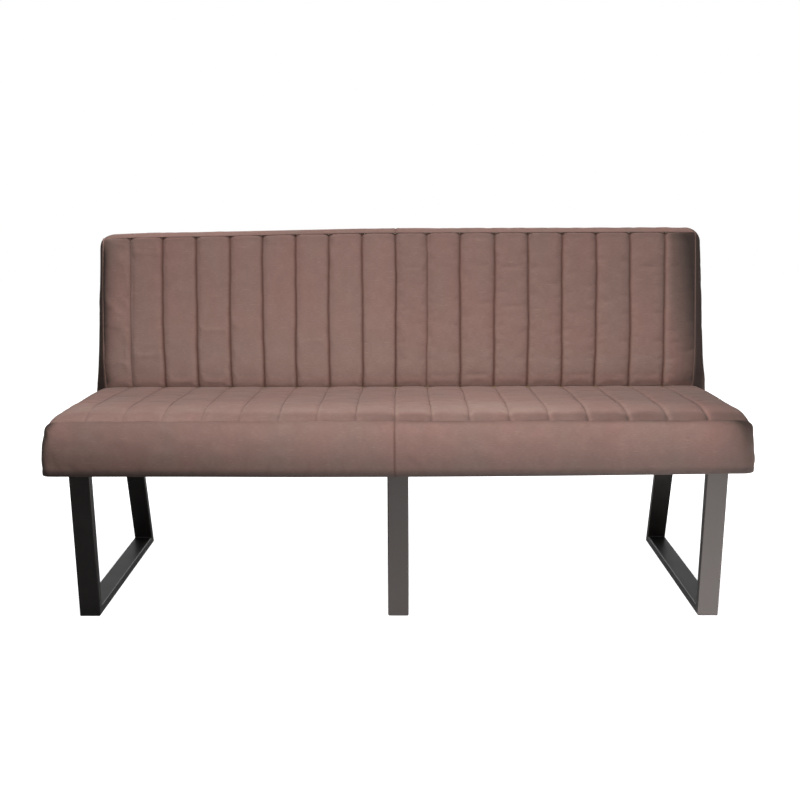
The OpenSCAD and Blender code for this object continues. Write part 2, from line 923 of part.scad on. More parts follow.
// Plain cover on the rear, in two halves that meet at the middle
module back_rear_cover(side) {
    bend_in = lean_z + rear_n * tan(recline / 2);
    bend_out = lean_z + cover_n * tan(recline / 2);
    profile = [
        [lean_y - rear_n, rail_z], [lean_y - rear_n, bend_in],
        [back_y(cover_v, rear_n), back_z(cover_v, rear_n)],
        [back_y(cover_v, cover_n), back_z(cover_v, cover_n)],
        [lean_y - cover_n, bend_out], [lean_y - cover_n, rail_z]
    ];
    color(velvet_dark)
        place()
            mirror([side < 0 ? 1 : 0, 0, 0])
                intersection() {
                    side_view(profile, back_half_low / 2, back_half_low);
                    translate([0, total_depth + 1, 0])
                        rotate([90, 0, 0])
                            linear_extrude(total_depth)
                                rear_outline();
                }
}

front_post(-leg_x);  // leg_left_front_post
rear_post(-leg_x);  // leg_left_rear_post
foot_bar(-leg_x);  // leg_left_foot_bar
top_plate(-leg_x);  // leg_left_top_plate
front_post(0);  // leg_centre_front_post
rear_post(0);  // leg_centre_rear_post
foot_bar(0);  // leg_centre_foot_bar
top_plate(0);  // leg_centre_top_plate
front_post(leg_x);  // leg_right_front_post
rear_post(leg_x);  // leg_right_rear_post
foot_bar(leg_x);  // leg_right_foot_bar
top_plate(leg_x);  // leg_right_top_plate
glides();
leg_screws();
seat_front_rail();
seat_rear_rail();
seat_end_rail(-1);  // seat_end_rail_left
seat_end_rail(1);  // seat_end_rail_right
cross_rail(-end_inner, -leg_x + cross_w / 2, -leg_x);  // cross_rail_left
cross_rail(-cross_w / 2, cross_w / 2, 0);  // cross_rail_centre
cross_rail(leg_x - cross_w / 2, end_inner, leg_x);  // cross_rail_right
glue_blocks();
seat_deck();
seat_foam();
seat_quilt(-1);  // seat_quilt_left
seat_quilt(1);  // seat_quilt_right
seat_band(-1);  // seat_band_left
seat_band(1);  // seat_band_right
dust_cover();
back_upright(upright_xs[0]);  // back_upright_left
back_upright(upright_xs[1]);  // back_upright_centre
back_upright(upright_xs[2]);  // back_upright_right
back_top_rail();
back_lower_rail(-1);  // back_lower_rail_left
back_lower_rail(1);  // back_lower_rail_right
back_bottom_rail(-1);  // back_bottom_rail_left
back_bottom_rail(1);  // back_bottom_rail_right
back_board();
back_foam();
back_quilt(-1);  // back_quilt_left
back_quilt(1);  // back_quilt_right
back_border(-1);  // back_border_left
back_border(1);  // back_border_right
back_rear_cover(-1);  // back_rear_cover_left
back_rear_cover(1);  // back_rear_cover_right
back_bolts();
insert_nuts();
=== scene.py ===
"""Dining bench: channelled velvet seat and back on three black steel sled legs.

Lengths in the tables are millimetres, and every mesh is in metres. X runs along the bench, the
front faces -Y and Z is up, as in the frame. A half of the bench is built on the +X side, and the
left half is then mirrored.
"""
import json
import math

import bmesh
import bpy
import numpy as np
from mathutils import Matrix, Vector


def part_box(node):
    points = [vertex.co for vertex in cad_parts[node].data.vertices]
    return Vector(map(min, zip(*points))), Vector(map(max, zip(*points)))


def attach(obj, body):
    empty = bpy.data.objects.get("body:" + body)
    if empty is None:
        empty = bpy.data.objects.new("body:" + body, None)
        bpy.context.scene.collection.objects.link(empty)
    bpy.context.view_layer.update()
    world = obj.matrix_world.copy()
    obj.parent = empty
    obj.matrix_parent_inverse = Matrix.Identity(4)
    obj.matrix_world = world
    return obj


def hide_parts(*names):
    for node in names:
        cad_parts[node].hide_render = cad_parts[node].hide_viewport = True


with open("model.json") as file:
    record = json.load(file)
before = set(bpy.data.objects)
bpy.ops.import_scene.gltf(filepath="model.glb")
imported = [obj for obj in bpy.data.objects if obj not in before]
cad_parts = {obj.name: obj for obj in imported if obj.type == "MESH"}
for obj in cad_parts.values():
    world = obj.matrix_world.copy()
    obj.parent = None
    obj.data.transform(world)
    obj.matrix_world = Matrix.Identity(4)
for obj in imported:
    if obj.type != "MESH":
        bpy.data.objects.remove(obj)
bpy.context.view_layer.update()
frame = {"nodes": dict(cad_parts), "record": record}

MM = 0.001

# Places that the frame gives

band_low, band_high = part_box("seat_band_right")
seat_panel_low, seat_panel_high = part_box("seat_quilt_right")
foam_low, foam_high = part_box("seat_foam")

front_y = band_low.y
seat_half = band_high.x
band_foot_z = band_low.z
foam_top_z = foam_high.z
seat_depth = seat_panel_high.y - front_y
front_lean = seat_panel_low.y - front_y
seat_seam_x = seat_panel_high.x
side_lean = seat_half - seat_seam_x
back_seam_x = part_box("back_quilt_right")[1].x
back_low_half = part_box("back_border_right")[1].x
back_top_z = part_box("back_border_right")[1].z

# Seat

channels = 9
seat_corner = 32 * MM
rail_inset = 11.7 * MM
lip_t = 1.2 * MM
lip_bend, lip_depth = 14 * MM, 30 * MM
foam_t = 28 * MM
seat_edge_h, seat_crest_h, seat_rear_h = 8 * MM, 25.5 * MM, 3 * MM
# Padding over the foam, as (share of the way back from a seam, share of the drop from the crest)
SEAT_RISE = [(0, 1), (0.03, 0.68), (0.065, 0.42), (0.11, 0.19), (0.16, 0.05), (0.21, 0)]
SEAT_SLOPE = [(0.31, 0.065), (0.5, 0.22), (0.68, 0.4), (0.84, 0.6), (0.95, 0.8), (1, 1)]
SEAT_SIDE_FALL, SEAT_SIDE_ROLL = {-1: 0.46, 1: 0.14}, 42 * MM
MID_SIDE_FALL, MID_DEPTH, REAR_DEPTH = 0.17, (80 * MM, 150 * MM), (220 * MM, 360 * MM)
# Section of the band, as (share of the tuck, share of the lean, share of the height)
BAND_OUTLINE = [
    (1, 0, 0), (0.42, 0, 0.08), (0.12, 0, 0.22), (0, 0, 0.4),
    (0, 0.04, 0.55), (0, 0.15, 0.72), (0, 0.34, 0.86), (0, 0.63, 0.95), (0, 1, 1),
]
FRONT_TUCK, SIDE_TUCK = 8 * MM, 1 * MM
# How far in each end of the band lies over its height, and how low its lower edge hangs along it
END_IN = {
    -1: [(0, -4.6), (0.27, -2.8), (0.45, -0.5), (0.62, 2), (0.8, 7.5), (0.92, 9)],
    1: [(0, -2.8), (0.27, -1.4), (0.45, 1.8), (0.62, 4), (0.8, 6.5), (0.92, 6.5)],
}
SAG = [(-0.82, 2.8), (-0.5, 3.5), (-0.2, 4.9), (0.15, 4.3), (0.45, 2.2), (0.82, -2.8)]

# Back

recline = math.radians(10)
back_foam_t, quilt_t, edge_drop = 25 * MM, 16 * MM, 8 * MM
board_set_back = 5.3 * MM
lower_front_n = 5 * MM
border_t, border_roll = 10 * MM, 28 * MM
back_corner = 42 * MM
top_seam_drop = 16 * MM
seam_radius = 4 * MM
foot_flare = 12 * MM
back_rear_n = -50 * MM
cover_t, cover_edge = 2.5 * MM, 3 * MM
foot_run, top_run, quilt_tip_n, foam_tip_n = 120 * MM, 35 * MM, 10.5 * MM, 7 * MM
# Padding of the back near its foot and under its top seam, as (share of the run, share of the drop)
FOOT_SHAPE = [(0, 1), (0.07, 0.72), (0.25, 0.56), (0.58, 0.26), (1, 0.07), (1.8, 0)]
TOP_SHAPE = [(2.7, 0), (1, 0.1), (0.43, 0.31), (0.14, 0.62), (0, 1)]
BACK_SIDE_FALL, BACK_SIDE_ROLL = 0.85, 55 * MM
# The padding ends over this run, below its lowest place
PADDING_FOOT = 12 * MM
# Section of the border, as (share of the way in from its outer face, share of the roll)
BORDER_OUTLINE = [(1, 0), (0.45, 0.15), (0.12, 0.4), (0, 0.7), (0, 1)]

lean_y = front_y + seat_depth + board_set_back
lean_z = foam_low.z
back_crest_n = back_foam_t + quilt_t
top_seam_n = back_crest_n - edge_drop
crest_rise = (top_seam_n - 0.7 * border_roll) * math.sin(recline)
back_v = (back_top_z - lean_z - crest_rise) / math.cos(recline)
seam_v = back_v - top_seam_drop
pad_low_v = foam_t + 2 * MM
foot_v = band_foot_z - lean_z + lip_t

# Sewing. The middle seam is a little left of the middle, and the lines are led by hand.

MIDDLE_SEAM_X = -7.5 * MM
# The pitch of the lines on each side, and how many millimetres each strays from it, outwards
PITCH = {-1: 90 * MM, 1: 90.9 * MM}
STRAY = {-1: (0, 0, 1, 1, 0, -1, 0, 1, 0), 1: (0, -6, -7, -5, -5, -4, -3, -2, 0)}
# On each side of the back one line is fainter, as (its number from the middle, share of its darkness)
FAINT_LINES = {-1: (8, 0.3), 1: (1, 0.55)}
# Places of the cloth's points beside a sewn line, and beside an edge, and their pitch elsewhere
LINE_STEPS = np.array([0, 1.5, 3.5, 6, 9, 14, 22, 33]) * MM
EDGE_STEPS = LINE_STEPS[:6]
CLOTH_STEP = 6.2 * MM
SEAM_WIDTH = 3 * MM
GROOVE_POWER = 1.8
# Padding is nowhere thinner than this, and cloth and foam keep as far from what they cover
CLEARANCE = 0.3 * MM


def smooth_curve(points):
    """A function that runs smoothly through (place, value) points and never overshoots them."""
    xs, ys = np.array(sorted(points), float).T
    chords = np.diff(ys) / np.diff(xs)
    slopes = np.concatenate([chords[:1], (chords[:-1] + chords[1:]) / 2, chords[-1:]])
    turning = np.concatenate([[False], chords[:-1] * chords[1:] <= 0, [False]])
    slopes[turning] = 0

    def curve(at):
        at = np.clip(at, xs[0], xs[-1])
        i = np.clip(np.searchsorted(xs, at, side="right") - 1, 0, len(xs) - 2)
        run = xs[i + 1] - xs[i]
        t = (at - xs[i]) / run
        rise = (2 * t**3 - 3 * t**2 + 1) * ys[i] + (3 * t**2 - 2 * t**3) * ys[i + 1]
        return rise + run * ((t**3 - 2 * t**2 + t) * slopes[i] + (t**3 - t**2) * slopes[i + 1])

    return curve


seat_height = smooth_curve(
    [
        (front_lean + s * (seat_depth - front_lean), seat_crest_h - d * (seat_crest_h - end_h))
        for shape, end_h in ((SEAT_RISE, seat_edge_h), (SEAT_SLOPE, seat_rear_h))
        for s, d in shape
    ]
)
back_front = smooth_curve(
    [(pad_low_v + s * foot_run, back_crest_n - d * (back_crest_n - quilt_tip_n)) for s, d in FOOT_SHAPE]
    + [(seam_v - s * top_run, back_crest_n - d * edge_drop) for s, d in TOP_SHAPE]
)
back_under = smooth_curve(
    [(pad_low_v, foam_tip_n), (pad_low_v + 0.75 * foot_run, back_foam_t), (seam_v, back_foam_t)]
)
# The photographed back leans a little to its left, so each side reaches out on its own past the seam,
# as (place up the back, reach) in millimetres
SIDE_REACH = {
    -1: [(0, 33), (45, 29), (100, 21.5), (190, 17.5), (270, 15.6), (360, 13)],
    1: [(0, 42), (45, 39), (100, 31), (190, 24.9), (270, 23.3), (360, 20.2)],
}
TOP_REACH = {-1: 12.5, 1: 18}
top_half = {side: back_seam_x + reach * MM for side, reach in TOP_REACH.items()}
half_width = {
    side: smooth_curve(
        [(foot_v, back_low_half - foot_flare)]
        + [(v * MM, back_seam_x + reach * MM) for v, reach in reaches]
        + [(back_v - back_corner, top_half[side]), (back_v, top_half[side])]
    )
    for side, reaches in SIDE_REACH.items()
}
end_in = {side: smooth_curve(table + [(1, side_lean / MM)]) for side, table in END_IN.items()}
sag = smooth_curve(SAG)


def seat_share(x, y, side):
    """Share of the seat padding's height that is left near its side seam, more so half way back."""
    middle = np.interp(y, (*MID_DEPTH, *REAR_DEPTH), (0, 1, 1, 0))
    fall = SEAT_SIDE_FALL[side] + MID_SIDE_FALL * middle
    return 1 - fall * np.maximum(0, 1 - (seat_seam_x - x) / SEAT_SIDE_ROLL) ** 2


def back_share(x):
    """Share of the back padding's height that is left near its side seam."""
    return 1 - BACK_SIDE_FALL * np.maximum(0, 1 - (back_seam_x - x) / BACK_SIDE_ROLL) ** 2


def back_seam_n(x, v):
    """Where the front seam of the border lies in front of the board."""
    v = np.minimum(v, seam_v)
    under = back_under(v)
    padded = under + back_share(x) * (back_front(v) - under)
    below = np.clip((pad_low_v - v) / PADDING_FOOT, 0, 1)
    return padded + (lower_front_n - padded) * below


# The back leans from a line at the deck. Its covers bend there over a short run, and the lean holds
# from a place on the straight part above it.
BEND_RUN, STRAIGHT_V = 25 * MM, 0.5
bend_v = np.linspace(-0.15, 0.6, 3001)
bend_share = np.clip((bend_v + BEND_RUN) / (2 * BEND_RUN), 0, 1)
bend_angle = recline * (3 * bend_share**2 - 2 * bend_share**3)
bend_step = np.diff(bend_v, prepend=bend_v[0])
bend_y = np.cumsum(np.sin(bend_angle) * bend_step)
bend_z = np.cumsum(np.cos(bend_angle) * bend_step)
bend_y += STRAIGHT_V * math.sin(recline) - np.interp(STRAIGHT_V, bend_v, bend_y)
bend_z += STRAIGHT_V * math.cos(recline) - np.interp(STRAIGHT_V, bend_v, bend_z)


def on_back(x, v, n):
    """Points of the back from places along X, up the board and in front of it."""
    x, v, n = np.broadcast_arrays(x, v, n)
    angle = np.interp(v, bend_v, bend_angle)
    y = lean_y + np.interp(v, bend_v, bend_y) - n * np.cos(angle)
    z = lean_z + np.interp(v, bend_v, bend_z) + n * np.sin(angle)
    return np.stack([x, y, z], axis=-1)


# The left end of the back's top has settled by this many millimetres, over places along it
DROOP = smooth_curve([(0.09, 0), (0.3, 3.9), (0.53, 8.1), (0.706, 11.4), (0.766, 13.6), (0.85, 14)])
# The timber settles less than the foam, which starts at the board's rear and is full over a run. Each
# settles up to a limit, and the power says how sharply it is met.
FOAM_START_N, FOAM_START_RUN = -5 * MM, 20 * MM
TIMBER_LESS, TIMBER_LIMIT, FOAM_EXTRA, LIMIT_POWER = 3 * MM, 8.4 * MM, 6 * MM, 6
frame_half = back_seam_x - 8 * MM
# The timber's upper edge is planed down towards its ends, and rounded off under the corners of the
# back, both as (run before the end, depth at the end)
PLANED, ROUNDED = (90 * MM, 8 * MM), (30 * MM, 17 * MM)


def end_cut(x, run, depth):
    """How deep the ends of the timber's upper edge are cut, over places along it."""
    return depth * np.clip((np.abs(x) - frame_half + run) / run, 0, 1) ** 2


def droop(points, side):
    """Lowers the left end of the back's top, and less over the timber than over the foam."""
    if side > 0:
        return points
    x, y, z = np.moveaxis(points, -1, 0)
    height = np.clip((z - lean_z) / (back_top_z - lean_z), 0, 1) ** 2
    n = (lean_y - y) * math.cos(recline) + (z - lean_z) * math.sin(recline)
    in_foam = np.clip((n - FOAM_START_N) / FOAM_START_RUN, 0, 1)
    wanted = np.maximum(DROOP(x) * MM - TIMBER_LESS * (1 - in_foam), 0)
    most = TIMBER_LIMIT + end_cut(x, *PLANED) + FOAM_EXTRA * in_foam
    blend = np.maximum(wanted**LIMIT_POWER + most**LIMIT_POWER, 1e-18) ** (1 / LIMIT_POWER)
    points[..., 2] -= height * wanted * most / blend
    return points


def groove(distance, depth, roll):
    """How far the cloth is drawn in beside a sewn line, which it rolls into."""
    return depth * np.maximum(0, 1 - distance / roll) ** GROOVE_POWER


# Waves of a line sewn by hand, as (waves in a metre, share of the line's phase, height). The lines'
# phases are a golden angle apart, so that no two lines waver alike.
DRIFT_WAVES = ((2.1, 1, 0.9 * MM), (5.3, 1.7, 0.45 * MM), (13.7, 2.9, 0.35 * MM))
FIRST_PHASE, GOLDEN_ANGLE = 0.7, 2.399
# Waves of stuffed cloth, as (waves in a metre one way, waves in a metre the other way, phase). Each is
# lower than the one before, and together they stay below a height.
CLOTH_WAVES = ((4.6, 2.7, 0.3), (7.4, -6.0, 1.9), (2.6, 9.7, 4.1), (13.2, 8.9, 2.2))
WAVE_FALL, WAVE_HEIGHT = 0.35, 2.9


def drift(k, along):
    """How far the sewn line number k wavers, in metres, over places along it."""
    phase = GOLDEN_ANGLE * k + FIRST_PHASE
    return sum(
        height * np.sin(2 * math.pi * waves * along + share * phase)
        for waves, share, height in DRIFT_WAVES
    )


def uneven(a, b, seed=0.0):
    """Gentle unevenness of stuffed cloth, from -1 to 1, over two places in metres."""
    total = sum(
        np.sin(2 * math.pi * (fa * a + fb * b) + phase + seed) / (1 + WAVE_FALL * i)
        for i, (fa, fb, phase) in enumerate(CLOTH_WAVES)
    )
    return total / WAVE_HEIGHT


def rows_between(start, end, step=CLOTH_STEP):
    """Places from start to end, close together near both ends."""
    near = EDGE_STEPS[-1]
    count = max(2, int(round((end - start - 2 * near) / step)))
    middle = np.linspace(start + near, end - near, count + 1)[1:-1]
    return np.concatenate([start + EDGE_STEPS, middle, (end - EDGE_STEPS)[::-1]])


def along_outline(outline, scale, step):
    """Shares of an outline at even steps along it. scale turns its shares into metres."""
    points = np.array(outline, float)
    lengths = np.linalg.norm(np.diff(points, axis=0) * np.array(scale), axis=1)
    at = np.concatenate([[0], np.cumsum(lengths)])
    places = rows_between(0, at[-1], step)
    shares = [smooth_curve(list(zip(at, column)))(places) for column in points.T]
    return places, np.stack(shares, axis=1)


# Skins


def add_object(name, data):
    """A new object in the scene."""
    made = bpy.data.objects.new(name, data)
    bpy.context.scene.collection.objects.link(made)
    return made


def seam_mark(distance):
    """1 on a sewn line, fading out beside it."""
    return np.exp(-np.maximum(distance, 0) / SEAM_WIDTH)


def skin(name, side, stations, across, seam=None, shade=None, free=None):
    """A closed skin over stations of points, shape (stations, points, 3), with flat ends.

    across says where each station is along the cloth. The others say something of the first points of
    each station. seam is how much painted shade a sewn line gets there, partly for its opened pile, and
    shade is painted shade above 0 and painted highlight below 0, partly for how the pile lies, from
    -1.5 to about 4, with 0 as dyed. free is true where the cloth can puff out, for all points.
    """
    count, size = stations.shape[:2]
    steps = np.linalg.norm(np.diff(stations, axis=1), axis=2)
    lengths = np.concatenate([np.zeros((count, 1)), np.cumsum(steps, axis=1)], axis=1)
    uv = np.stack([lengths * 0 + np.reshape(across, (-1, 1)) * side, lengths], axis=-1)
    points = stations.reshape(-1, 3) * (side, 1, 1)
    first = np.arange(size)
    faces = [first[::-1].tolist(), ((count - 1) * size + first).tolist()]
    for i in range(count - 1):
        a = i * size + first
        b = i * size + (first + 1) % size
        faces += np.stack([a, b, b + size, a + size], axis=1).tolist()
    mesh = bpy.data.meshes.new(name)
    mesh.from_pydata(points.tolist(), [], faces)
    # The pile attribute holds painted shade and painted highlight, partly for how the pile lies, and the
    # seam attribute holds the painted shade of sewn lines
    for mark, values in (("seam", seam), ("pile", shade)):
        filled = np.zeros((count, size), np.float32)
        if values is not None:
            filled[:, :values.shape[1]] = values
        mesh.attributes.new(mark, "FLOAT", "POINT").data.foreach_set("value", filled.reshape(-1))
    loops = np.empty(len(mesh.loops), np.int32)
    mesh.loops.foreach_get("vertex_index", loops)
    layer = mesh.uv_layers.new(name="cloth")
    layer.data.foreach_set("uv", uv.reshape(-1, 2)[loops].astype(np.float32).reshape(-1))
    work = bmesh.new()
    work.from_mesh(mesh)
    bmesh.ops.recalc_face_normals(work, faces=work.faces)
    crease = work.edges.layers.float.new("crease_edge")
    for edge in work.edges:
        station = [vert.index // size for vert in edge.verts]
        if station in ([0, 0], [count - 1, count - 1]):
            edge[crease] = 1.0
    work.to_mesh(mesh)
    work.free()
    mesh.polygons.foreach_set("use_smooth", [True] * len(mesh.polygons))
    piece = add_object(name, mesh)
    if free is not None:
        sewn = piece.vertex_groups.new(name="sewn")
        sewn.add(np.flatnonzero(~free.reshape(-1)).tolist(), 1.0, "REPLACE")
    return piece


PUFF_FRAMES = 16


def puff(piece, pressure, cap):
    """Lets the stuffing press the cloth out between its seams, as a short cloth simulation.

    The cloth is stiff along its threads, a little longer than its seams, and moves no more than cap.
    """
    cloth = piece.modifiers.new("cloth", "CLOTH")
    settings = cloth.settings
    settings.quality = 6
    settings.mass = 0.4
    settings.tension_stiffness = 20
    settings.compression_stiffness = 20
    settings.shear_stiffness = 8
    settings.bending_stiffness = 1.0
    settings.use_pressure = True
    settings.uniform_pressure_force = pressure
    settings.vertex_group_mass = "sewn"
    settings.shrink_min = -0.012
    settings.effector_weights.gravity = 0
    cloth.collision_settings.use_collision = False
    cloth.point_cache.frame_start = 1
    cloth.point_cache.frame_end = PUFF_FRAMES
    start = np.empty(len(piece.data.vertices) * 3, np.float32)
    piece.data.vertices.foreach_get("co", start)
    for number in range(1, PUFF_FRAMES + 1):
        bpy.context.scene.frame_set(number)
    pressed = piece.evaluated_get(bpy.context.evaluated_depsgraph_get())
    end = np.empty_like(start)
    pressed.data.vertices.foreach_get("co", end)
    move = (end - start).reshape(-1, 3)
    length = np.maximum(np.linalg.norm(move, axis=1, keepdims=True), 1e-9)
    move *= cap * np.tanh(length / cap) / length
    piece.modifiers.remove(cloth)
    bpy.context.scene.frame_set(1)
    piece.data.vertices.foreach_set("co", (start.reshape(-1, 3) + move).reshape(-1))
    piece.data.update()


# Channelled panels


def channel_columns(width):
    """Nominal places along one half of a panel, close together at its sewn lines."""
    pitch = width / channels
    places = [(channels - 0.5) * pitch]
    for k in range(channels):
        places += list(k * pitch + LINE_STEPS) + [(k + 0.5) * pitch]
        if k > 0:
            places += list(k * pitch - LINE_STEPS[1:])
    places += list(width - LINE_STEPS)
    return np.unique(np.round(places, 6))


def follow_lines(columns, width, along, side):
    """Moves the nominal columns so that they follow the sewn lines: shape (columns, along).

    Both halves share the middle line, and the others waver by numbers that no other line has.
    """
    lines = [side * MIDDLE_SEAM_X + side * drift(0, along)]
    for k in range(1, channels):
        place = side * MIDDLE_SEAM_X + k * PITCH[side] + STRAY[side][k] * MM
        lines.append(place + drift(k + 20 * side, along))
    lines = np.array(lines + [width + 0 * along])
    pitch = width / channels
    k = np.minimum((columns / pitch + 1e-6).astype(int), channels - 1)
    t = (columns / pitch - k)[:, None]
    return lines[k] * (1 - t) + lines[k + 1] * t


def past_line(columns, width):
    """How far the nominal columns lie past their nearest sewn line, less than 0 before it."""
    pitch = width / channels
    return columns - np.clip(np.round(columns / pitch), 0, channels - 1) * pitch


# Channels differ a little in fullness and are dimpled, but not beside their sewn lines
UNEVEN_BY, DIMPLES_START = 0.5 * MM, 12 * MM
CROWN_POWER = 2.5


def channel_relief(columns, rows, width, depth, roll, crown, seed):
    """How far a channelled surface lies below its full height, and each column's gap to its line."""
    pitch = width / channels
    gap = np.abs(past_line(columns, width))[:, None]
    t = np.minimum(2 * gap / pitch, 1)
    number = (columns / pitch).astype(int)[:, None]
    fullness = UNEVEN_BY * np.sin(2.3 * number + seed) * np.sin(math.pi * t / 2)
    dimples = UNEVEN_BY * uneven(columns[:, None], rows[None, :], seed)
    away = np.minimum(1, gap / DIMPLES_START)
    return crown * (1 - t) ** CROWN_POWER + groove(gap, depth, roll) - fullness - dimples * away, gap


# Painted shade and painted highlight on the velvet, which stand for the light and shade of the lamps and
# partly for how its pile lies: 0 as dyed, more where it is painted darker and less where it is painted
# lighter. A step of 1 takes about a third of the dyed brightness. Names in ALONG, and CREASES, run over
# metres along the bench, and names in END over millimetres in from an end.

# Millimetres back from the seat's front seam: over the whole seat a painted highlight on the crest and
# painted light at the rear edge, with painted shade between, and the painted shade of the strip behind
# the seam, whose strength changes along the bench
SEAT_SHADE = smooth_curve(
    [(0, 0), (27, -0.2), (36, -0.65), (60, -0.7), (90, -0.45), (130, -0.15), (200, 0.08), (300, 0.2),
     (405, 0.2), (420, -0.3), (433, -0.9)]
)
SEAT_STRIP = smooth_curve([(0, 0.5), (8, 0.45), (19, 0.4), (27, 0.15), (36, 0)])
STRIP_ALONG = smooth_curve(
    [(-0.8, -0.3), (-0.64, -0.9), (-0.5, -0.9), (-0.36, -0.2), (-0.25, 0.45), (-0.11, 0.6),
     (-0.04, 1.3), (0.03, 1.6), (0.1, 1.0), (0.19, 1.6), (0.28, 1.9), (0.38, 1.8), (0.47, 1.3),
     (0.56, 0.9), (0.65, 0.1), (0.72, -0.1), (0.8, -0.2)]
)
# Painted shade and painted highlight over the whole seat along the bench, most shade at its right end
SEAT_ALONG = smooth_curve(
    [(-0.8, -0.3), (-0.7, -0.1), (-0.6, 0.1), (-0.5, 0), (-0.35, 0.1), (-0.25, 0), (-0.1, 0.05),
     (0, -0.12), (0.1, -0.2), (0.19, -0.5), (0.3, -0.3), (0.38, -0.12), (0.46, 0.25), (0.56, 0.5),
     (0.65, 0.7), (0.72, 1.05), (0.81, 1.6)]
)
# How deep the seat's sewn lines are, and how strong the painted shade and painted highlight beside them
CREASES = smooth_curve([(-0.8, 0.1), (-0.5, 0.15), (-0.3, 0.5), (0, 0.8), (0.2, 0.9), (0.8, 1.2)])
# Metres up the back: painted light near the foot, where shade falls by the seat, and painted shade
# towards the top
BACK_SHADE = smooth_curve(
    [(0.03, -1.4), (0.038, -1.0), (0.047, -0.2), (0.054, -0.35), (0.062, -0.75), (0.075, -1.1),
     (0.09, -1.12), (0.105, -1.0), (0.125, -0.78), (0.15, -0.6), (0.2, -0.38), (0.3, -0.05),
     (0.38, 0.12), (0.43, 0.25)]
)
# Shares of the band's height: painted shade, darkest at its lower edge, where the band turns under
BAND_SHADE = smooth_curve(
    [(0, 2.3), (0.035, 2.1), (0.07, 1.7), (0.11, 1.3), (0.17, 0.52), (0.24, 0.38), (0.38, 0.15),
     (0.55, 0)]
)
# Painted shade on the top of the band by its join with the seat, over places along the bench, as a share
# of its usual darkness
JOIN_ALONG = smooth_curve(
    [(-0.8, 0), (-0.64, 0.3), (-0.5, 0.3), (-0.36, 0.75), (-0.22, 0.3), (-0.11, 0.2), (-0.04, 0.75),
     (0.03, 1.4), (0.1, 1.7), (0.19, 1.3), (0.28, 0.8), (0.37, 1.15), (0.47, 1.45), (0.56, 1.8),
     (0.65, 2.2), (0.71, 1.3), (0.8, 0.2)]
)
# Painted shade on the band along the bench, most at its left end
BAND_ALONG = smooth_curve(
    [(-0.75, 0.3), (-0.63, 0.3), (-0.49, 0.15), (-0.35, 0.05), (-0.2, 0), (0.3, 0), (0.48, 0.08),
     (0.52, -0.1), (0.7, -0.05)]
)
# Painted light on the border over the top of the back, towards its left end
TOP_ALONG = smooth_curve(
    [(-0.75, -0.6), (-0.6, -0.6), (-0.45, -0.5), (-0.36, -0.25), (-0.25, 0), (0.75, 0)]
)
# Painted shade at the left end of the back's panel, the left end of the band, and its right end near its
# top
BACK_LEFT_END = smooth_curve(
    [(0, 3.0), (2.5, 2.75), (10, 1.85), (17, 0.96), (24, 0.47), (32, 0.24), (50, 0)]
)
LEFT_END = smooth_curve([(0, 2), (5, 1.9), (10, 1.5), (14, 0.7), (19, 0.25), (26, 0)])
RIGHT_END = smooth_curve(
    [(0, 2.2), (18, 2.2), (28, 1.87), (37, 1.3), (46, 1.0), (60, 0.7), (75, 0.45), (100, 0.15), (130, 0)]
)
# Painted shade on each half of the back as a whole, and the least that the painted shading of a panel
# comes to
BACK_HALF_SHADE = {-1: -0.25, 1: -0.05}
BACK_LEAST, SEAT_LEAST = -1.5, -1.15


def beside_lines(columns, width, side, dark, dark_width, light, light_place, light_width):
    """Painted shade at the left of each sewn line, and a painted highlight in a thin edge at its right,
    as from a light at the left.
    """
    to_right = past_line(columns, width) * side
    darker = dark * np.exp(-np.abs(to_right) / dark_width)
    lighter = -light * np.exp(-np.abs(to_right - light_place) / light_width)
    return np.where(to_right <= 0, darker, lighter)[:, None]


def back_shade(columns, rows, width, side):
    """Painted shade and painted highlight on the back's cloth. It darkens towards both ends, at the right
    over a whole channel.
    """
    lines = beside_lines(
        columns, width, side,
        dark=0.42, dark_width=9 * MM, light=0.5, light_place=3.5 * MM, light_width=2 * MM,
    )
    from_side = (width - columns)[:, None]
    height = np.clip(rows / seam_v, 0, 1)[None, :]
    below_top = (seam_v - rows)[None, :]
    if side < 0:
        # The painted shade of the end fades out before it reaches the top seam
        end_start = 26 * MM
        ends = BACK_LEFT_END(from_side / MM) * (1 - np.exp(-((below_top / end_start) ** 2)))
    else:
        # Painted shade at the right end, darker towards the top, but a little less so close under the top
        # seam
        end_reach, top_light, full_by = 82 * MM, 12 * MM, 0.15
        near = np.clip(1 - from_side / end_reach, 0, 1)
        ends = (0.1 + 0.75 * height) * np.clip(near / full_by, 0, 1) + 1.3 * near + 0.8 * near**3
        ends = ends * (1 - 0.25 * np.exp(-below_top / top_light))
        # Painted shade in the middles of the channels from the fourth one on
        number = np.clip(columns * channels / width, 0, channels - 0.001)
        bowl = np.sin(math.pi * (number % 1)) * np.clip((number - 3) / 2, 0, 1)
        lines = lines + 0.2 * bowl[:, None]
    # Under the top seam lies a shadow, with a thin light edge at the seam itself
    shadow_reach, edge_reach = 17 * MM, 1.6 * MM
    under_seam = 0.65 * np.exp(-((below_top / shadow_reach) ** 2)) - 1.3 * np.exp(-below_top / edge_reach)
    shade = lines + ends + BACK_SHADE(rows)[None, :] + under_seam + BACK_HALF_SHADE[side]
    return np.maximum(shade, BACK_LEAST)


